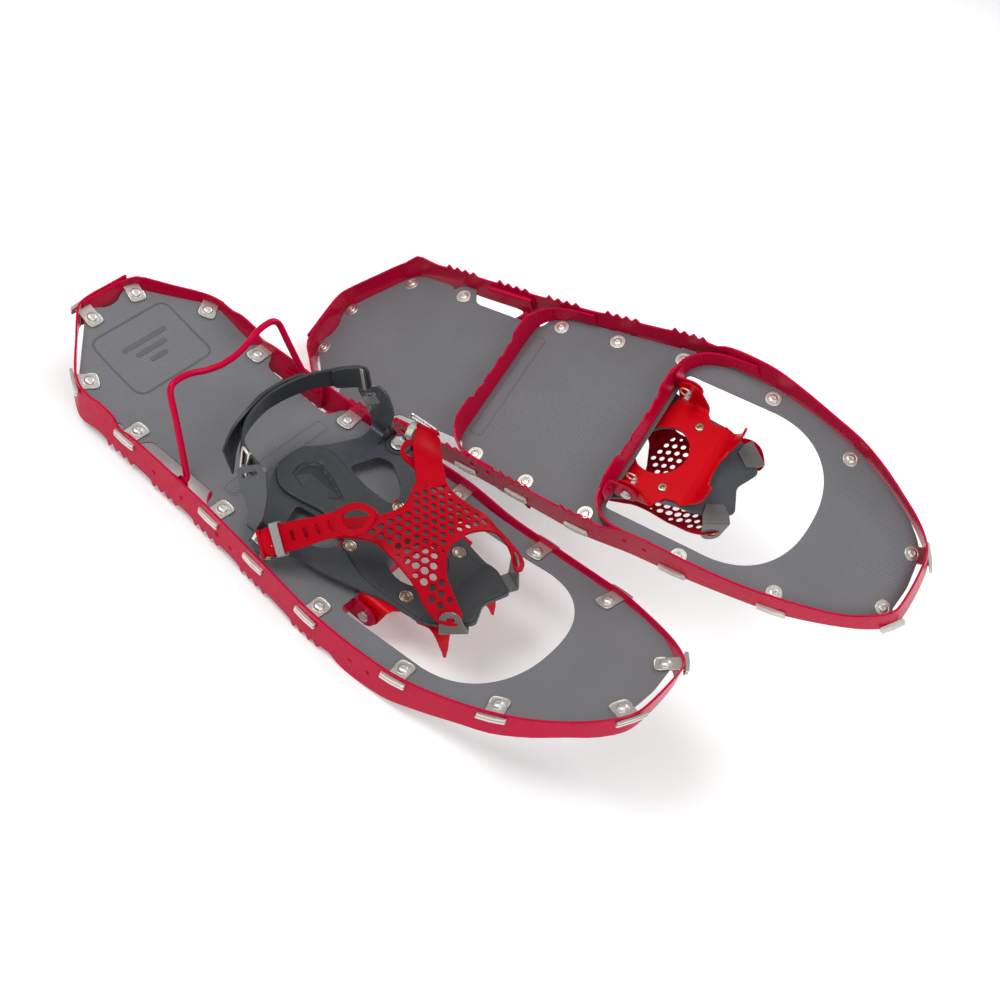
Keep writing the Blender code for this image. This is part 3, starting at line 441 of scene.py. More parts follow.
def sheet(outline, holes, creases, bend, thick, grid=0.0):
    """A flat pattern bent into shape: bend(u, v, w) places a pattern point, w through the thickness."""
    flat, tris = flat_triangles(outline, holes, creases, grid)
    count = len(flat)
    points = [bend(u, v, 0.0) for u, v in flat] + [bend(u, v, thick) for u, v in flat]
    sides = np.concatenate([tris[:, [0, 1]], tris[:, [1, 2]], tris[:, [2, 0]]])
    twins = {(b, a) for a, b in sides}
    rims = [(a, b, b + count, a + count) for a, b in sides if (a, b) not in twins]
    faces = [t[::-1] for t in tris] + [t + count for t in tris] + rims
    return points, faces, np.concatenate([flat, flat])


def tube(points, ring, closed=False):
    """A solid whose points lie in rings: joined end to end when closed, capped otherwise."""
    rings = len(points) // ring
    faces = []
    for i in range(rings if closed else rings - 1):
        start, following = i * ring, (i + 1) % rings * ring
        for k in range(ring):
            n = (k + 1) % ring
            faces.append((start + k, start + n, following + n, following + k))
    if not closed:
        faces += [list(range(ring)), list(range(len(points) - ring, len(points)))]
    return points, faces, [(p[0], p[1]) for p in points]


def lathe(profile, centre, axis, steps=32, flats=0):
    """A turned solid: (radius, distance along axis) from end to end. flats makes its head a prism."""
    axis = Vector(axis).normalized()
    side = axis.orthogonal().normalized()
    other = axis.cross(side)
    points = []
    for radius, along in profile:
        for a in 2 * math.pi * np.arange(steps) / steps:
            r = radius
            if flats and along > 0:
                half = math.pi / flats
                r = radius * math.cos(half) / math.cos(a % (2 * half) - half)
            out = side * (r * math.cos(a)) + other * (r * math.sin(a))
            points.append(Vector(centre) + axis * along + out)
    return tube(points, steps)


def wire(path, radius, sides=24, closed=False):
    """A round wire along a 3-D path."""
    path = [Vector(p) for p in path]
    count = len(path)
    up = None
    points = []
    for i, here in enumerate(path):
        ahead = path[(i + 1) % count] if closed else path[min(i + 1, count - 1)]
        behind = path[i - 1] if closed else path[max(i - 1, 0)]
        along = (ahead - behind).normalized()
        up = along.orthogonal() if up is None else up - along * up.dot(along)
        up.normalize()
        other = along.cross(up)
        for a in 2 * math.pi * np.arange(sides) / sides:
            points.append(here + up * (radius * math.cos(a)) + other * (radius * math.sin(a)))
    return tube(points, sides, closed)


# Materials.


class Nodes:
    """A material's node tree, built by short calls."""

    def __init__(self, name):
        self.material = bpy.data.materials.new(name)
        self.material.use_nodes = True
        self.tree = self.material.node_tree
        self.shader = self.tree.nodes["Principled BSDF"]

    def put(self, socket, value):
        """Link another node's output to the socket, or give the socket its own value."""
        if isinstance(value, bpy.types.NodeSocket):
            self.tree.links.new(value, socket)
        else:
            socket.default_value = value

    def node(self, kind, links=None, **settings):
        made = self.tree.nodes.new(kind)
        for key, value in settings.items():
            setattr(made, key, value)
        for key, value in (links or {}).items():
            self.put(made.inputs[key], value)
        return made

    def set(self, **values):
        for key, value in values.items():
            self.put(self.shader.inputs[key.replace("_", " ")], value)

    def math(self, operation, a, b=0.0):
        return self.node("ShaderNodeMath", {0: a, 1: b}, operation=operation).outputs[0]

    def noise(self, scale, detail=3.0, stretch=None):
        where = self.node("ShaderNodeTexCoord").outputs["Object"]
        if stretch:
            where = self.node("ShaderNodeMapping", {"Vector": where, "Scale": stretch}).outputs[0]
        links = {"Vector": where, "Scale": scale, "Detail": detail}
        return self.node("ShaderNodeTexNoise", links).outputs["Fac"]

    def spread(self, value, low, high, start=0.3, end=0.7):
        """value from start..end turned into low..high."""
        links = {"Value": value, "From Min": start, "From Max": end, "To Min": low, "To Max": high}
        return self.node("ShaderNodeMapRange", links).outputs[0]

    def mix(self, factor, first, second):
        ends = [c if isinstance(c, bpy.types.NodeSocket) else (*c, 1.0) for c in (first, second)]
        links = {0: factor, 6: ends[0], 7: ends[1]}
        return self.node("ShaderNodeMix", links, data_type="RGBA").outputs[2]

    def tone(self, colour, cloud, low, high):
        """The colour, drifting between two depths of tone."""
        return self.mix(cloud, shade(colour, low), shade(colour, high))

    def bump(self, height, strength, distance, edge=0.0):
        links = {"Height": height, "Strength": strength, "Distance": distance}
        if edge:
            links["Normal"] = self.node("ShaderNodeBevel", {"Radius": edge}, samples=6).outputs[0]
        self.set(Normal=self.node("ShaderNodeBump", links).outputs[0])


def shade(colour, factor):
    return tuple(c * factor for c in colour)


def paint(name, colour, rough=0.26):
    """Glossy powder coat: faint orange peel, cloudy tone, fine scratches and rounded edges."""
    n = Nodes(name)
    scratch = n.spread(n.noise(420, 2, (1, 9, 1)), 0, 1, 0.70, 0.76)
    tone = n.tone(colour, n.spread(n.noise(22, 4), 0, 1), 0.95, 1.03)
    n.set(Base_Color=n.mix(n.math("MULTIPLY", scratch, 0.03), tone, (0.7, 0.3, 0.35)))
    wear = n.math("MULTIPLY", scratch, 0.06)
    n.set(Roughness=n.math("ADD", n.spread(n.noise(90), rough - 0.02, rough + 0.02), wear))
    n.set(Coat_Weight=0.04, Coat_Roughness=0.1, Specular_IOR_Level=0.08)
    n.bump(n.noise(1300, 2), 0.03, 0.0003, 0.0005)
    return n.material


def metal(name, colour, rough=0.3, grain=(1, 1, 14), edge=0.0004):
    """Metal with brushed grain, handling marks and rounded edges."""
    n = Nodes(name)
    brushed = n.noise(420, 3, grain)
    n.set(Base_Color=n.tone(colour, n.spread(n.noise(60, 4), 0, 1), 0.92, 1.0), Metallic=1.0)
    n.set(Roughness=n.spread(brushed, rough - 0.04, rough + 0.05))
    n.bump(brushed, 0.05, 0.0002, edge)
    return n.material


def moulded(name, colour, rough, scale=1500, depth=0.0003, spots=0.08, edge=0.0006, shine=0.3, **extra):
    """Moulded rubber or plastic: matt skin grain, cloudy tone, dust specks."""
    n = Nodes(name)
    speck = n.spread(n.noise(900, 1), 0, 1, 0.72, 0.78)
    tone = n.tone(colour, n.spread(n.noise(30, 5), 0, 1), 0.93, 1.06)
    n.set(Base_Color=n.mix(n.math("MULTIPLY", speck, spots), tone, (0.7, 0.7, 0.7)))
    n.set(Roughness=n.spread(n.noise(140, 4), rough - 0.06, rough + 0.08), Specular_IOR_Level=shine)
    n.set(**extra)
    n.bump(n.noise(scale, 3), 0.15, depth, edge)
    return n.material


def woven(name, colour):
    """Coated deck fabric: staggered dashes of the base cloth showing through its skin."""
    n = Nodes(name)
    uv = n.node("ShaderNodeTexCoord").outputs["UV"]
    turned = n.node("ShaderNodeMapping", {"Vector": uv, "Rotation": (0, 0, math.radians(8))}).outputs[0]
    links = {"Vector": turned, "Scale": 1.0, "Mortar Size": 0.28, "Mortar Smooth": 1.0, "Bias": 0.0,
             "Brick Width": 3.0, "Row Height": 1.8}
    gap = n.node("ShaderNodeTexBrick", links, offset=0.5).outputs["Fac"]
    cloud = n.spread(n.noise(16, 5), 0, 1)
    tone = n.tone(colour, cloud, 0.93, 1.05)
    grain = n.spread(n.noise(900, 2), 0.85, 1.15)
    dark = n.mix(n.math("MULTIPLY", n.math("MULTIPLY", gap, 0.95), grain), tone, shade(colour, 0.4))
    n.set(Base_Color=dark, Roughness=n.spread(cloud, 0.42, 0.52, 0, 1), Sheen_Weight=0.1,
          Specular_IOR_Level=0.35)
    height = n.math("SUBTRACT", n.math("MULTIPLY", n.noise(1100, 2), 0.4), gap)
    n.bump(height, 0.35, 0.0004)
    return n.material


RED = (0.46, 0.0, 0.034)
CLEAR = dict(scale=700, depth=0.0001, spots=0.0, edge=0.0)
URETHANE = dict(scale=900, depth=0.0002, spots=0.0, shine=0.06)
LOOKS = {made.name: made for made in (
    paint("frame_paint", RED),
    paint("crampon_paint", (0.54, 0.0, 0.006), 0.3),
    woven("deck_cloth", (0.160, 0.160, 0.172)),
    moulded("deck_print", (0.10, 0.10, 0.108), 0.5),
    moulded("thread", (0.16, 0.16, 0.17), 0.7, 2500),
    metal("clip_steel", (0.72, 0.70, 0.65), 0.40),
    metal("rivet_alloy", (0.70, 0.69, 0.66), 0.44),
    metal("bronze", (0.42, 0.33, 0.25), 0.36),
    metal("steel", (0.72, 0.70, 0.66), 0.34),
    moulded("net_urethane", (0.36, 0.0, 0.008), 0.38, **URETHANE),
    moulded("strap_urethane", (0.40, 0.0, 0.008), 0.34, **URETHANE),
    moulded("bed_rubber", (0.044, 0.047, 0.052), 0.46, 1200, 0.0003, 0.05),
    moulded("clear_grey", (0.056, 0.061, 0.070), 0.26, shine=0.4, **CLEAR),
    moulded("tab_clear", (0.15, 0.145, 0.14), 0.22, shine=0.5, Transmission_Weight=0.25, IOR=1.45,
            **CLEAR),
    moulded("keeper_clear", (0.42, 0.41, 0.40), 0.25, shine=0.5, Transmission_Weight=0.4, IOR=1.45,
            **CLEAR),
    moulded("strap_rubber", (0.028, 0.032, 0.035), 0.40, 1000, spots=0.03, Coat_Weight=0.2,
            Coat_Roughness=0.3),
)}


class Shoe:
    """One snowshoe: its side, which foot it is for, and its place in the row frame."""

    def __init__(self, side):
        self.side = side
        self.hand = HANDS[side]
        turn = Euler([math.radians(a) for a in TURNS[side]]).to_matrix().to_4x4()
        pivot = Matrix.Translation(Vector(JOINTS[f"{side}_binding_pivot"]["pos_m"]))
        self.matrix = pivot @ turn @ Matrix.Translation(-Vector(PIVOT) * MM) @ Matrix.Scale(MM, 4)

    def make(self, body, name, parts, look, replaces=(), round_by=0.0, smooth=38):
        """One object from parts in the shoe's frame, riding on a body and standing for CAD nodes."""
        points, faces, flat = [], [], []
        for part_points, part_faces, part_flat in parts:
            first = len(points)
            points.extend(self.matrix @ Vector(p) for p in part_points)
            faces.extend([int(i) + first for i in f] for f in part_faces)
            flat.extend(part_flat)
        mesh = bpy.data.meshes.new(name)
        mesh.from_pydata(points, [], faces)
        work = bmesh.new()
        work.from_mesh(mesh)
        bmesh.ops.recalc_face_normals(work, faces=work.faces)
        work.to_mesh(mesh)
        work.free()
        layer = mesh.uv_layers.new(name="pattern")
        corners = np.empty(len(mesh.loops), np.int32)
        mesh.loops.foreach_get("vertex_index", corners)
        layer.data.foreach_set("uv", np.array(flat, np.float32)[corners].ravel())
        mesh.shade_smooth()
        mesh.set_sharp_from_angle(angle=math.radians(smooth))
        mesh.materials.append(LOOKS[look])
        obj = bpy.data.objects.new(f"{self.side}_{name}", mesh)
        bpy.context.scene.collection.objects.link(obj)
        if round_by:
            bevel = obj.modifiers.new("edges", "BEVEL")
            bevel.width = round_by * MM
            bevel.segments = 2
            bevel.limit_method = "ANGLE"
            bevel.angle_limit = math.radians(50)
        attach(obj, body if body == "frames" else f"{self.side}_{body}")
        for node in replaces:
            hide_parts(f"{self.side}_{node}")
        return obj


def deck_rise(x):
    """Height of the deck's top face: level underfoot, swept up at the toe and the tail."""
    start, rise, run, power = TOE_RISE
    if x > start:
        return rise * ((x - start) / run) ** power
    start, rise, run, power = TAIL_RISE
    if x < start:
        return rise * ((start - x) / run) ** power
    return 0.0


def foot_points():
    """The blade's lower edge from tail to toe as (x, height), with its rounded teeth."""
    points = list(FRAME_FOOT_TAIL)
    for start, following in zip(TOOTH_GROUPS, (*TOOTH_GROUPS[1:], FRAME_FOOT_TOE[0][0])):
        for k in range(TEETH):
            x = start + k * TOOTH_PITCH
            deep = TOOTH_FOOT if k else TOOTH_FOOT - 1
            points += [(x, TOOTH_ROOT), (x + 0.30 * TOOTH_PITCH, deep + 0.5), (x + 0.52 * TOOTH_PITCH, deep),
                       (x + 0.82 * TOOTH_PITCH, TOOTH_ROOT + 0.5)]
        end = start + TEETH * TOOTH_PITCH
        points.append((end, TOOTH_ROOT + 1))
        if following - end > TOOTH_PITCH:
            points.append(((end + following) / 2, CREST_FOOT))
    return points + list(FRAME_FOOT_TOE)


def blade_path():
    """The blade's outer face from the end of its lap round the toe and back, with its middle's index."""
    half = spline(FRAME_PLAN, 4, 12)
    lap_in = BLADE + 0.3
    start = [(half[0][0] + lap_in, -LAP), (half[0][0] + lap_in, LAP - 10)]
    body = [p for p in half if p[0] > FRAME_PLAN[2][0]]
    turn = [(FRAME_PLAN[2][0] + 0.6 * lap_in, FRAME_PLAN[2][1] - 0.5)]
    other = [(x, -y) for x, y in reversed(half) if y > 0]
    path = Bend(start + turn + body + other + [(half[0][0], 0), (half[0][0], LAP)])
    return path, int(np.argmax(path.p[:, 0]))


RAIL, RAIL_MIDDLE = blade_path()


def blade():
    """The toothed strip bent round the deck, slotted for the clips."""
    xs = RAIL.p[:, 0]

    def along(x, first):
        part = slice(0, RAIL_MIDDLE + 1) if first else slice(RAIL_MIDDLE, None)
        order = 1 if first else -1
        return float(np.interp(x, xs[part][::order], RAIL.s[part][::order]))

    def edge(profile, first):
        """Pattern points of one edge on one side, outward from the tail."""
        inner = [(along(x, first), h) for x, h in profile if x > FRAME_PLAN[2][0]]
        return [(RAIL.s[0] if first else RAIL.s[-1], profile[0][1])] + inner

    def whole(profile):
        near = edge(profile, True)[:-1] + [(RAIL.s[RAIL_MIDDLE], profile[-1][1])]
        return near + edge(profile, False)[:-1][::-1]

    slots = []
    low, high = SLOT_SPAN
    for x, y in CLIP_STATIONS:
        for sign in (1, -1):
            u = RAIL.nearest((x, sign * y))
            w = CLIP_HALF + SLOT_PLAY
            slots.append([(u - w, low), (u + w, low), (u + w, high), (u - w, high)])

    def bend(u, v, w):
        x, y = RAIL.at(u, -w)
        return x, y, v + deck_rise(RAIL.at(u)[0])

    outline = spline(whole(foot_points()), 9, 12) + spline(whole(FRAME_TOP), 9, 12)[::-1]
    return sheet(outline, slots, across(RAIL.folds, 60), bend, BLADE)


def rail_rivets():
    """Peened rivet heads on the blade's outer face, where brackets and crossmembers are fastened."""
    parts = []
    profile = [(2.4, -0.3), (2.4, 0.2), (1.9, 0.8), (0.9, 1.1)]
    for x, h in RAIL_RIVETS:
        for sign in (1, -1):
            s = RAIL.nearest((x, sign * 100))
            at, out = RAIL.at(s), RAIL.at(s, 1.0)
            z = h + deck_rise(at[0])
            parts.append(lathe(profile, (*at, z), (out[0] - at[0], out[1] - at[1], 0), 20))
    tail = FRAME_PLAN[0][0]
    for y, h in LAP_RIVETS:
        parts.append(lathe(profile, (tail, y, h + deck_rise(tail)), (-1, 0, 0), 20))
    return parts


def clip_frames():
    """Each clip's rivet point and unit direction to the rail, with its distance to the outer face."""
    for x, y in CLIP_STATIONS:
        for sign in (1, -1):
            here = np.array([x, sign * y], float)
            s = RAIL.nearest(here)
            out = np.array(RAIL.at(s, 0.0))
            way = out - here
            reach = float(np.linalg.norm(way))
            yield here, way / reach, reach


def clips():
    """Steel straps from each deck rivet out through the blade, ending in a layered T-head."""
    parts = []
    for here, way, reach in clip_frames():
        side = np.array([-way[1], way[0]])

        def bend(a, b, w, low=CLIP_LIFT, here=here, way=way, side=side):
            x, y = here + way * a + side * b
            return x, y, deck_rise(x) + low + w

        inner = [(0, CLIP_HALF), (-7.5, CLIP_HALF), (-8.5, 0), (-7.5, -CLIP_HALF), (0, -CLIP_HALF)]
        inner = rounded(inner, 6.5, 6, closed=False)
        end = reach + 0.6
        outline = [(end, CLIP_HALF)] + inner + [(end, -CLIP_HALF)]
        parts.append(sheet(outline, [], across((0, end / 2)), bend, CLIP_THICK))
        parts.append(wire([bend(a, b, CLIP_THICK + 0.1) for a, b in inner], 0.55, 10))
        for k, wider in enumerate(HEAD_LAYERS):
            half = HEAD_HALF + wider
            proud = 0.3 * (k % 2)
            bow = [(reach + 0.2, half), (reach + 2.6 + proud, half - 0.4), (reach + 3.3 + proud, 0)]
            bow += [(a, -b) for a, b in reversed(bow[:-1])]
            low = CLIP_LIFT + HEAD_LOW + k * HEAD_PITCH
            lift = functools.partial(bend, low=low)
            parts.append(sheet(rounded(bow, 0.7, 2), [], [], lift, 1.25))
    return parts


def clip_rivets(below):
    """Domed rivets on the clips, or the ringed washers under the deck."""
    dome = [(6.0, 0.0), (6.0, 0.45), (5.0, 0.5), (4.9, 0.9), (4.4, 1.8), (3.2, 2.6), (1.8, 2.9), (1.0, 2.7),
            (0.2, 2.65)]
    washer = [(7.6, 0.0), (7.6, 0.5), (7.2, 0.9), (5.2, 0.95), (5.0, 0.6), (4.0, 0.6), (3.8, 1.5),
              (3.2, 1.9), (1.9, 1.9), (1.7, 0.9), (0.2, 0.9)]
    parts = []
    for here, _, _ in clip_frames():
        z = deck_rise(here[0])
        slope = (deck_rise(here[0] + 1) - deck_rise(here[0] - 1)) / 2
        up = Vector((-slope, 0, 1))
        if below:
            parts.append(lathe(washer, (*here, z - DECK_THICK), -up, 28))
        else:
            parts.append(lathe(dome, (*here, z + CLIP_LIFT + CLIP_THICK), up, 28))
    return parts


def deck():
    """The decking sheet with the toe opening for the binding."""
    nose = []
    for a in np.radians(np.linspace(90, -90, 49)):
        power = 2 / OPENING_POWER
        x = OPENING_TURN_X + OPENING_NOSE * abs(math.cos(a)) ** power
        nose.append((x, math.copysign(OPENING_HALF * abs(math.sin(a)) ** power, a)))
    square = box(OPENING_TURN_X, OPENING_REAR, OPENING_HALF)
    opening = nose + rounded(square, 5, 4, closed=False)[1:-1]
    outline = rounded(mirrored(DECK_PLAN), 6, 3)
    return sheet(outline, [opening], [], on_deck(-DECK_THICK), DECK_THICK, 14)


def on_deck(lift):
    def bend(u, v, w):
        return u, v, deck_rise(u) + lift + w

    return bend


def deck_patch():
    """The reinforcing patch sewn to the deck ahead of the rear crossmember."""
    x0, x1, half = PATCH
    return sheet(box(x0, x1, half, 5, 6), [], [], on_deck(0.03), 0.3)


def stitches():
    """Thread along the patch's edge."""
    x0, x1, half = PATCH
    seam = np.array(box(x0 + 2, x1 - 2, half - 2, 4, 6))
    path = Bend(np.vstack([seam, seam[:1]]))
    parts = []
    for s in np.arange(0, path.s[-1] - 2.2, STITCH_PITCH):
        for side, face in ((1, 0.2), (-1, -DECK_THICK)):
            points = []
            for t, up in ((0.0, 0.0), (0.5, 0.4), (1.6, 0.4), (2.1, 0.0)):
                x, y = path.at(s + t)
                points.append((x, y, deck_rise(x) + face + side * up))
            parts.append(wire(points, 0.35, 6))
    return parts


def deck_mark():
    """A plain raised outline with three bars near the tail."""
    x0, x1, half = LABEL
    outer = box(x0, x1, half, 12, 6)
    inner = box(x0 + 1.6, x1 - 1.6, half - 1.6, 10.6, 6)
    parts = [sheet(outer, [inner], across(np.arange(x0 + 5, x1 + 5, 8), 90), on_deck(0.04), 0.35)]
    for k, length in enumerate(LABEL_BARS):
        x = x0 + 22 + k * 10
        parts.append(sheet(box(x, x + 4.5, length, 2.2, 6), [], [], on_deck(0.04), 0.3))
    return parts


def toe_slope(u, v, w):
    """A point of the bed's toe flap: u along its slope from the same zero as x, w up from its top face."""
    pitch = math.radians(TOE_PITCH)
    run = u - TOE_FOLD
    x = TOE_FOLD + run * math.cos(pitch) - w * math.sin(pitch)
    return x, v, BED_Z + run * math.sin(pitch) + w * math.cos(pitch)


def bed_half(arm):
    heel = [(-77, 0), (-76, 14), (-74, 21), (-61, 43), (-50, 66)]
    lobe = arc(BOLT, 11, 165, 0, 14)
    wing = [(4, 75), (29, 71), (61, 60), (85, 50.5), (112, 46), (125, 44.5), TAB_EDGE[1], TAB_EDGE[0]]
    toe = [(161, 21), (156, 10), (151, 0)]
    return heel + list(arm) + [(ARM_FRONT - 0.5, 87)] + lobe + wing + toe


def bed_bend(hand):
    """Where the bed's pattern lies: wings that rise gently, arms that stand up, a toe that turns up."""
    lean = math.radians(ARM_LEAN)
    shelf = BED_Z + WING_RISE
    arm = (WING_EDGE + ARM_RUN * math.cos(lean), shelf + ARM_RUN * math.sin(lean))
    flat = [(0, BED_Z), (WING_FOLD, BED_Z), (WING_EDGE, shelf)]
    corner = rounded([*flat, arm], 7, 8, closed=False)
    path = Bend([(-y, z) for y, z in reversed(corner)] + corner[1:])
    mid = path.s[-1] / 2
    wing = Bend([(0, BED_Z), (WING_FOLD, BED_Z), (WING_FOLD + ARM_RUN, BED_Z + ARM_RUN * WING_SLOPE)])

    def bend(u, v, w):
        """w is up from the bed's top face."""
        if u > ARM_FRONT and abs(v) < BOLT[1] + 12:
            y, z = wing.at(abs(v), w)
            if u > TOE_FOLD:
                return toe_slope(u, hand * math.copysign(y, v), z - BED_Z)
            return u, hand * math.copysign(y, v), z
        y, z = path.at(v + mid, w)
        return u, hand * y, z

    return bend, [s - mid for s in path.folds]


def bed(hand):
    """The translucent bed with its windows, wings and arms."""
    wide = bed_half(WIDE_ARM)
    slim = bed_half(SLIM_ARM)
    bend, folds = bed_bend(hand)
    holes = [rounded([(x, s * y) for x, y in WINDOW], 6, 5) for s in (1, -1)]
    holes += [list(ARM_SLOT), [(x + SLIM_SHIFT[0], -y - SLIM_SHIFT[1]) for x, y in ARM_SLOT]]
    holes += [circle((x, s * y), RIVET_BORE) for x, y in (*RIVETS, BOLT) for s in (1, -1)]
    holes.append(circle(*TOE_WINDOW, 48))
    creases = [((-100, v), (ARM_FRONT - 1.5, v)) for v in folds]
    for u in (ARM_FRONT - 1.2, ARM_FRONT + 0.8):
        creases += [((u, 70), (u, 100)), ((u, -100), (u, -70))]
    creases += across([TOE_FOLD], 60)
    outline = rounded(wide + [(x, -y) for x, y in reversed(slim[1:-1])], 7, 4)

    def low(u, v, w):
        return bend(u, v, w - BED_THICK)

    return sheet(outline, holes, creases, low, BED_THICK, 7)


def heel_shape(u, v):
    """Height of the dark panel over the bed: a heel pad with a hollow and a raised rim."""
    spot = np.array([[u, v]])
    start, run = HEEL_RAMP
    lift = HEEL_RISE * min(1.0, past(start, u) / run)
    height, inset, width = PANEL_RIM
    from_edge = edge_distance([mirrored(PANEL)], spot)[0]
    lift += height * math.exp(-(((from_edge - inset) / width) ** 2))
    if inside([HEEL_HOLLOW], spot[:, 0], spot[:, 1])[0]:
        deep = edge_distance([HEEL_HOLLOW], spot)[0]
        lift -= min(HOLLOW_DEPTH, deep * HOLLOW_SLOPE)
    return lift


def panel(hand):
    """The dark rubber panel under the boot, from the heel pad to the toe."""
    bend, _ = bed_bend(hand)
    outline = rounded(mirrored(PANEL), 6, 4)
    hollow = rounded(HEEL_HOLLOW, 5, 3)
    creases = list(zip(hollow, hollow[1:] + hollow[:1])) + across([TOE_FOLD], 60)
    holes = [circle((x, s * y), 6.2) for x, y in RIVETS for s in (1, -1)]
    holes.append(circle(TOE_WINDOW[0], TOE_WINDOW[1] + 1.5, 48))

    def raised(u, v, w):
        return bend(u, v, 0.05 + (w and w + heel_shape(u, v)))

    return sheet(outline, holes, creases, raised, PANEL_THICK, 2.2)


def heel_boss(hand):
    """The faceted boss in the heel pad's hollow: flat triangles from a low rim to two crowns. It is given
    the darker strap rubber as painted shade, so that the hollow reads darker.
    """
    middle = np.mean(HEEL_HOLLOW, axis=0)
    rim = [middle + BOSS_SHARE * (np.array(p) - middle) for p in HEEL_HOLLOW]
    n = len(rim)
    points = [(x, hand * y, BED_Z + z) for z in (0.1, 0.6) for x, y in rim]
    points += [(x, hand * y, BED_Z + z) for x, y, z in BOSS_CROWNS]
    part_way = (BOSS_CROWNS[0][0] + BOSS_CROWNS[1][0]) / 2
    crown = [2 * n + (x > part_way) for x, _ in rim]
    faces = [list(range(n))[::-1]]
    for i in range(n):
        j = (i + 1) % n
        faces += [(i, j, n + j, n + i), (n + i, n + j, crown[i])]
        if crown[i] != crown[j]:
            faces.append((n + j, crown[j], crown[i]))
    return points, faces, [(p[0], p[1]) for p in points]


def rivet_washers():
    """Dark cup washers round the panel's rivets."""
    profile = [(6.1, 0.05), (6.1, 1.3), (5.7, 1.55), (5.0, 1.2), (4.7, 0.5), (3.4, 0.3), (3.4, 0.05)]
    return [lathe(profile, (x, s * y, BED_Z), (0, 0, 1)) for x, y in RIVETS for s in (1, -1)]


def bed_rivets():
    """Tubular rivets through the bed and the crampon: a domed head above, a rolled open end below."""
    low = BED_Z - BED_THICK - CRAMPON_THICK
    profile = [(0.2, low + 1.6), (1.9, low + 1.6), (1.9, low - 0.7), (2.5, low - 1.2), (3.7, low - 1.0),
               (4.4, low - 0.1), (3.0, low), (3.0, BED_Z), (4.7, BED_Z + 0.1), (4.8, BED_Z + 0.9),
               (4.0, BED_Z + 1.5), (2.6, BED_Z + 1.3), (2.0, BED_Z + 1.0), (0.2, BED_Z + 1.0)]
    return [lathe(profile, (x, s * y, 0), (0, 0, 1), 40) for x, y in RIVETS for s in (1, -1)]


def wing_point(s, lift):
    """A wing bolt's place, lift above the wing's top face, with the direction square to the wing."""
    z = BED_Z + (BOLT[1] - WING_FOLD) * WING_SLOPE + lift
    return (BOLT[0], s * BOLT[1], z), (0, -s * WING_SLOPE, 1)


def collars():
    """Raised dark collars moulded round the wing bolts."""
    profile = [(11.6, -2.6), (11.6, 0.6), (10.9, 1.5), (8.2, 1.7), (7.4, 0.9), (7.2, 0.15), (7.2, -2.6)]
    return [lathe(profile, *wing_point(s, 0.0), steps=40) for s in (1, -1)]


def bolts():
    """Hex bolts with washers through the wings."""
    parts = []
    washer = [(7.0, 1.75), (7.0, 2.5), (6.6, 2.7), (3.0, 2.7)]
    head = [(5.9, 0.05), (5.9, 3.4), (5.4, 3.9), (3.0, 4.0), (2.6, 3.7)]
    nut = [(5.2, 0.05), (5.2, 1.1), (4.6, 1.4), (2.4, 1.4)]
    for s in (1, -1):
        centre, axis = wing_point(s, 0.0)
        parts.append(lathe([(3.0, 0.0)] + washer, centre, axis, 40))
        parts.append(lathe(head, wing_point(s, 2.7)[0], axis, 48, flats=6))
        under = wing_point(s, -BED_THICK - 0.3)[0]
        parts.append(lathe(nut, under, [-a for a in axis], 48, flats=6))
        parts.append(lathe([(2.8, -BED_THICK - 1), (2.8, 3)], centre, axis, 24))
    return parts


def bail(side):
    """The heel-lift wire, raised part way."""
    a = math.radians(BAIL_RAISED[side])
    corner = BAIL_REACH + BAIL_HORN
    half = [(BAIL_HALF + 7.9, 0), (BAIL_HALF, 0), (BAIL_HALF - 2, 9), (70, 50), (65, corner), (43, corner)]
    tight = rounded(half[:3], 3.5, 6, closed=False)
    half = tight[:-1] + rounded(half[2:] + [(24, BAIL_REACH + 3), (8, BAIL_REACH)], 14, 10, closed=False)
    flat = half + [(0, BAIL_REACH)] + [(-y, s) for y, s in reversed(half)]
    flat = [flat[0]] + [q for p, q in zip(flat, flat[1:]) if math.dist(p, q) > 0.3]
    path = [(BAIL_PIVOT[0] - s * math.cos(a), y, BAIL_PIVOT[1] + s * math.sin(a)) for y, s in flat]
    return wire(path, BAIL_WIRE, 28)


def wrap_height(x, y):
    """Height of the wrap over the instep: arched, lower on the near side and at its tied ends."""
    near = y < 0
    swell, middle, crest, spread = NET_SWELL
    height = NET_CROWN - (NET_FALL_NEAR if near else NET_FALL_FAR) * y * y
    height += swell * (x - middle) ** 2 * math.exp(-(((x - crest) / spread) ** 2))
    height -= past(x, *TOE_DROP)
    height -= past(y, *SHOULDER_DROP) * min(1.0, past(x, SHOULDER_FROM) / SHOULDER_RUN)
    if near:
        for start, slope in (NEAR_DROP, TAIL_DROP):
            height -= past(start, x, slope)
    return max(NET_LOWEST, height)


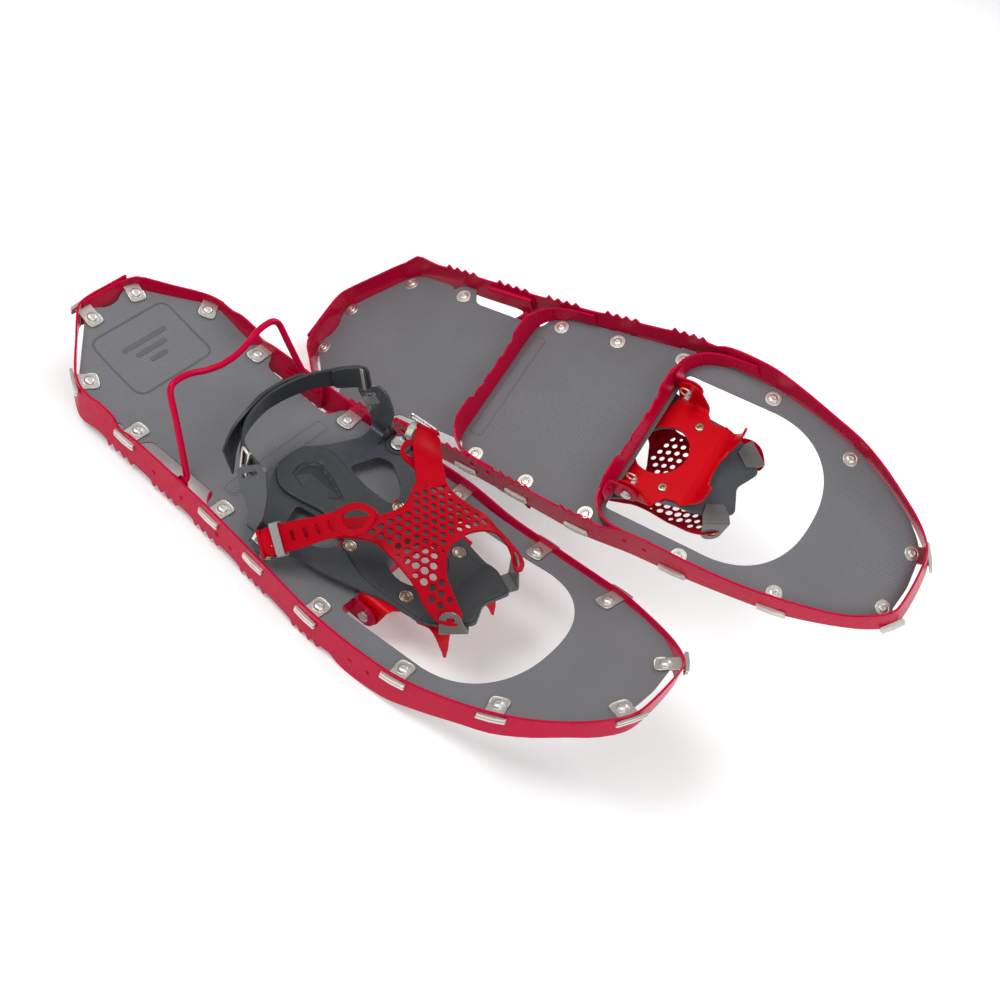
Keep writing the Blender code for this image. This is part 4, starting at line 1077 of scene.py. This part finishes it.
def net_holes(outline):
    """Staggered hexagons where the net has room, larger toward the near toe arm."""
    turn = math.radians(HOLE_TURN)
    a = HOLE_PITCH * np.array([math.cos(turn), math.sin(turn)])
    b = HOLE_PITCH * np.array([math.cos(turn + math.pi / 3), math.sin(turn + math.pi / 3)])
    least, plain, more = HOLE_RADII
    holes = []
    for i in range(-14, 15):
        for j in range(-14, 15):
            centre = HOLE_ORIGIN + i * a + j * b
            room = edge_distance([outline], centre[None])[0]
            if not inside([outline], centre[:1], centre[1:])[0]:
                continue
            open_part = math.exp(-(((centre[0] - 102) / 20) ** 2) - ((centre[1] + 32) / 20) ** 2)
            radius = min(plain + (more - plain) * open_part, room - NET_BORDER)
            last = HOLES_TO_FAR if centre[1] > 0 else HOLES_TO
            if radius < least or not HOLES_FROM <= centre[0] <= last:
                continue
            corners = [centre + radius * 1.1 * np.array([math.cos(turn + k), math.sin(turn + k)])
                       for k in np.arange(6) * math.pi / 3 + math.pi / 6]
            holes.append(rounded(corners, radius * (0.75 - 0.35 * open_part), 2))
    return holes


def net(hand):
    outline = spline(NET_PLAN, 7, 6, closed=True)

    def bend(u, v, w):
        return u, hand * v, wrap_height(u, v) - w

    return sheet(outline, net_holes(outline), [], bend, NET_THICK, 5)


def strap_sheet(band, outline, holes, low, thick, grid=3.0):
    """A pattern laid along a band, with its lower face low above the band's."""
    return sheet(outline, holes, [], lambda s, t, w: band.at(s, t, low + w), thick, grid)


def fold_over(band, half, radius, lift):
    """The turn where a strap's two layers meet round a bar at the band's start."""
    angles = np.radians(np.linspace(-90, 90, 13))
    roll = Bend([(-radius * math.cos(a), lift + radius * math.sin(a)) for a in angles])
    ahead = (band.c[1] - band.c[0]) / np.linalg.norm(band.c[1] - band.c[0])

    def curl(s, t, w):
        along, off = roll.at(s, w - STRAP_THICK / 2)
        return band.at(0.0, t, off) + along * ahead

    return sheet(box(0, roll.s[-1], half), [], across(roll.folds), curl, STRAP_THICK)


def oblong(s, long, wide):
    return box(s - wide, s + wide, long, 1.8, 4)


def both_edges(upper):
    """An outline closed by mirroring its upper edge, whose last point lies on the middle line."""
    return [(u, -v) for u, v in upper] + upper[-2::-1]


def near_strap(hand):
    """The near side arm's adjusting end: doubled back over the net's arm, with slots and a pull ring."""
    over = Band(NEAR_STRAP, hand)
    half = STRAP_HALF
    end = over.length
    ring_at = end - RING_LENGTH
    top = [(0, half), (30, half), (ring_at - 16, half - 1.6), (ring_at, half - 1.4),
           (ring_at + 10, half + 1.5), (end - 16, half + 1.5), (end - 4, 6), (end, 0)]
    border = [(ring_at - 2, 8), *((u, v - 0.6) for u, v in top[4:6]), (end - 4.5, 5), (end - 1, 0)]
    ring = [(ring_at + 5, -5.5), (ring_at + 12, -7.5), (end - 16, -7.5), (end - 8, -2)]
    ring = rounded(ring + [(u, -v) for u, v in reversed(ring)], 2.5, 4)
    spots = ring_at - 8.3 - SLOT_PITCH * np.arange(4)
    slots = [oblong(s, 4.6, 2.0) for s in spots]
    low = STRAP_THICK + 0.8
    parts = [
        strap_sheet(over, rounded(both_edges(top), 7, 5), [ring, *slots], low, 2.6),
        strap_sheet(over, rounded(both_edges(border), 6, 5), [ring], low + 2.5, 0.9),
        strap_sheet(over, box(0, 30, half, 1, 2), [], 0.0, STRAP_THICK),
        fold_over(over, half, 2.4, STRAP_THICK + 0.4),
    ]
    for s, slot in zip(spots, slots):
        parts.append(strap_sheet(over, oblong(s, 6.0, 3.3), [slot], low + 2.5, 0.6, 0))
    return parts


def far_strap(hand):
    """The far side arm: it rises to the steel link and folds back over it to a small pull ring."""
    stations = [(np.mean(e, axis=0), np.subtract(*e) / math.dist(*e)) for e in FAR_EDGES]
    band = Band(stations, hand, square=False)
    half = 11.3
    end = band.length
    plain = [(0, -half), (end - 12, -half - 2), (end, -half - 4)]
    plain += [(u, -v) for u, v in reversed(plain)]
    tail = [(0, -half), (30, -half), (40, -half + 2), (44, 0), (40, half - 4), (33, half + 3),
            (28, half + 11), (19, half + 13), (12, half + 10), (10, half + 2), (8, half), (0, half)]
    eye = [(15, half + 1), (26, half + 1), (25, half + 7), (19, half + 9), (15, half + 7)]
    return [
        strap_sheet(band, divided(plain, 6), [], -STRAP_THICK, STRAP_THICK),
        strap_sheet(band, rounded(tail, 5, 5), [rounded(eye, 3, 4)], 2.6, STRAP_THICK),
        strap_sheet(band, box(4, 34, half - 2.5, 3, 4), [box(6.5, 31.5, half - 5, 2, 4)], 4.7, 0.5),
        fold_over(band, half, 2.6, 0.8),
    ]


def link(hand):
    """The steel loop bolted under the far collar, which rises outside it to carry the far arm."""
    band = Band(LINK, hand)
    end = band.length
    outline = [(0, -3.5), (end - 18, -3.5), (end - 10, -13.5), (end, -13.5)]
    outline = rounded(outline + [(u, -v) for u, v in reversed(outline)], 2.5, 4)
    (x, y, z), _ = wing_point(1, 0.4)
    foot = rounded([(x - 8, y - 8), (x + 8, y - 8), (x + 8, y + 10), (x - 7, y + 10)], 3, 4)

    def flat(u, v, w):
        return u, hand * v, z - BED_THICK - 1.2 + w

    return [
        strap_sheet(band, outline, [box(end - 8.5, end - 3, 11.5, 1.5, 3)], -0.8, 1.6),
        sheet(foot, [circle((x, y), 3.2)], [], flat, 0.9),
    ]


def keeper(hand):
    """The clear band round the near strap's layers."""
    band = Band(NEAR_STRAP, hand)
    ring = rounded([(-13.6, -1.4), (13.6, -1.4), (13.6, 7.4), (-13.6, 7.4)], 2.4, 5)
    loop = Bend(ring + [ring[0]])

    def bend(u, v, w):
        return band.at(KEEPER_AT + v, *loop.at(u, w))

    return sheet(box(0, loop.s[-1], 4.5), [], across(loop.folds), bend, -1.3)


def heel_line(hand):
    return Band([(c, (0, 0, 1)) for c in HEEL_PLAN], hand)


def heel_strap(hand):
    """The heel strap: an inner band, and over its outside the adjusting end with its row of slots."""
    band = heel_line(hand)
    half = HEEL_HALF
    end = band.length
    over = Band(HEEL_OUTER, hand, square=False)
    far = over.length
    outer = both_edges([(-3, half + 2), (24, half), (far - 8, half), (far, 0)])
    slots = [box(s - 1.1, s + 1.1, 3, 1.0, 3) for s in np.arange(9, far - 10, 7.2)]
    parts = [
        strap_sheet(band, box(0, end, half, 4), [], 0.0, HEEL_THICK),
        strap_sheet(over, rounded(outer, 4, 5), slots, 0.0, HEEL_THICK),
        strap_sheet(band, box(end - 40, end - 1, half, 4), [], HEEL_THICK + 0.5, HEEL_THICK),
    ]
    for t in (-half + 1.0, half - 1.0):
        rib = [(u, t + v) for u, v in box(20, far - 12, 0.8)]
        parts.append(strap_sheet(over, rib, [], -0.6, 0.9))
    return parts


def heel_metal(hand):
    """The strap's pin buckle, its bright pin, and the bent plate on the doubled end."""
    band = heel_line(hand)
    half = HEEL_HALF
    start, stop = BUCKLE_AT
    end = band.length
    frame_path = [band.at(s, t, -1.5) for s, t in box(start, stop, half + 2.4, 2.5)]
    pin = [band.at(start, t, -2.2) for t in (-half - 2, half + 6)]
    plate = box(end - 5, end - 1.5, half + 0.6, 1, 2)
    return [
        wire(frame_path, 1.3, 12, closed=True),
        wire(pin, 1.5, 14),
        strap_sheet(band, plate, [], 2 * HEEL_THICK + 0.6, 1.0, 0),
    ]


def arm_insert(hand):
    """A plain clear insert let into the wide arm, proud of both faces."""
    bend, _ = bed_bend(hand)
    outline = rounded([(-66, 117), (-50, 135), (-42, 129), (-58, 110)], 5, 5)
    return sheet(outline, [list(ARM_SLOT)], [], lambda u, v, w: bend(u, v, 0.5 - w), BED_THICK + 1.0)


def dress_cad():
    """Materials for the CAD nodes that stay in view."""
    looks = (
        ("crossmember", "frame_paint"), ("pivot_ear", "frame_paint"), ("bail_bracket", "frame_paint"),
        ("crampon", "crampon_paint"), ("pivot_pin", "steel"), ("split_ring", "steel"),
        ("toe_tab", "tab_clear"), ("side_buckle", "steel"),
    )
    for name, obj in NODES.items():
        for part, look in looks:
            if part in name:
                for k in range(len(obj.data.materials)):
                    obj.material_slots[k].link = "OBJECT"
                    obj.material_slots[k].material = LOOKS[look]


def pieces(side, hand):
    """By body, each piece: name, parts, look, CAD nodes it replaces, edge rounding, smoothing angle."""
    return {
        "frames": (
            ("rail", [blade()], "frame_paint", ["frame"]),
            ("rail_rivets", rail_rivets(), "frame_paint"),
            ("decking", [deck()], "deck_cloth", ["deck"]),
            ("deck_patch", [deck_patch()], "deck_cloth"),
            ("deck_stitches", stitches(), "thread"),
            ("deck_mark", deck_mark(), "deck_print"),
            ("deck_clips", clips(), "clip_steel", [], 0.3),
            ("clip_rivets", clip_rivets(False), "rivet_alloy"),
            ("clip_washers", clip_rivets(True), "clip_steel"),
        ),
        "bail": (("lift_wire", [bail(side)], "frame_paint", ["heel_lift_bail"]),),
        "binding": (
            ("bed", [bed(hand)], "clear_grey", ["footbed"], 0.5),
            ("bed_panel", [panel(hand)], "bed_rubber"),
            # the boss takes the darker strap rubber, not the panel's: painted shade in the heel pad's hollow
            ("heel_boss", [heel_boss(hand)], "strap_rubber", [], 0.0, 5),
            ("bed_washers", rivet_washers(), "bronze"),
            ("bed_rivets", bed_rivets(), "bronze",
             ["front_rivet_l", "front_rivet_r", "rear_rivet_l", "rear_rivet_r"]),
            ("bed_collars", collars(), "bed_rubber"),
            ("wing_bolts", bolts(), "rivet_alloy", ["wing_bolt_l", "wing_bolt_r"]),
            ("arm_insert", [arm_insert(hand)], "keeper_clear", [], 0.3),
            ("wrap_net", [net(hand)], "net_urethane", ["mesh_wrap"], 0.5),
            ("near_side_strap", near_strap(hand), "strap_urethane", [], 0.5),
            ("far_side_strap", far_strap(hand), "strap_urethane", [], 0.5),
            ("far_link", link(hand), "steel", ["side_buckle_long"], 0.3),
            ("strap_keeper", [keeper(hand)], "keeper_clear", ["keeper_loop"]),
        ),
        "strap": (
            ("heel_band", heel_strap(hand), "strap_rubber", ["heel_strap"], 0.4),
            ("heel_fittings", heel_metal(hand), "steel", ["heel_buckle", "heel_strap_tip"]),
        ),
    }


def build(side):
    shoe = Shoe(side)
    made = {row[0]: shoe.make(body, *row) for body, rows in pieces(side, shoe.hand).items() for row in rows}
    return shoe


def add(name, data, place, turn):
    """An object in the scene, at a place in metres and a turn in radians."""
    obj = bpy.data.objects.new(name, data)
    obj.location = place
    obj.rotation_euler = turn
    bpy.context.scene.collection.objects.link(obj)
    return obj


def lamp(name, place, size, power):
    light = bpy.data.lights.new(name, "AREA")
    light.shape = "DISK"
    light.size = size
    light.energy = power
    aim = Vector(LAMP_AIM) - Vector(place)
    add(name, light, place, aim.to_track_quat("-Z", "Y").to_euler())


def studio(shoe):
    """The floor, the soft lights and the camera."""
    bpy.ops.mesh.primitive_plane_add(size=12, location=(0, 0, CAD_BOX[0][2]))
    floor = bpy.context.object
    floor.name = "floor"
    n = Nodes("floor_paper")
    n.set(Base_Color=n.tone((1.0, 1.0, 1.0), n.spread(n.noise(2), 0, 1), 0.86, 0.90), Roughness=0.7)
    n.set(Emission_Color=(1.0, 1.0, 1.0, 1.0), Emission_Strength=FLOOR_GLOW)
    floor.data.materials.append(n.material)
    for name, values in LAMPS.items():
        lamp(name, *values)
    world = bpy.data.worlds.new("studio")
    bpy.context.scene.world = world
    world.use_nodes = True
    sky = world.node_tree.nodes["Background"].inputs
    sky["Color"].default_value = (1, 1, 1, 1)
    sky["Strength"].default_value = SKY_GLOW
    data = bpy.data.cameras.new("camera")
    data.lens = CAMERA_LENS
    place = shoe.matrix.translation + Vector(CAMERA_FROM) * MM
    turn = [math.radians(a) for a in CAMERA_TURN]
    bpy.context.scene.camera = add("camera", data, place, turn)
    bpy.context.scene.view_settings.view_transform = "Standard"


right = build("right")
build("left")
dress_cad()
studio(right)
bpy.context.view_layer.update()
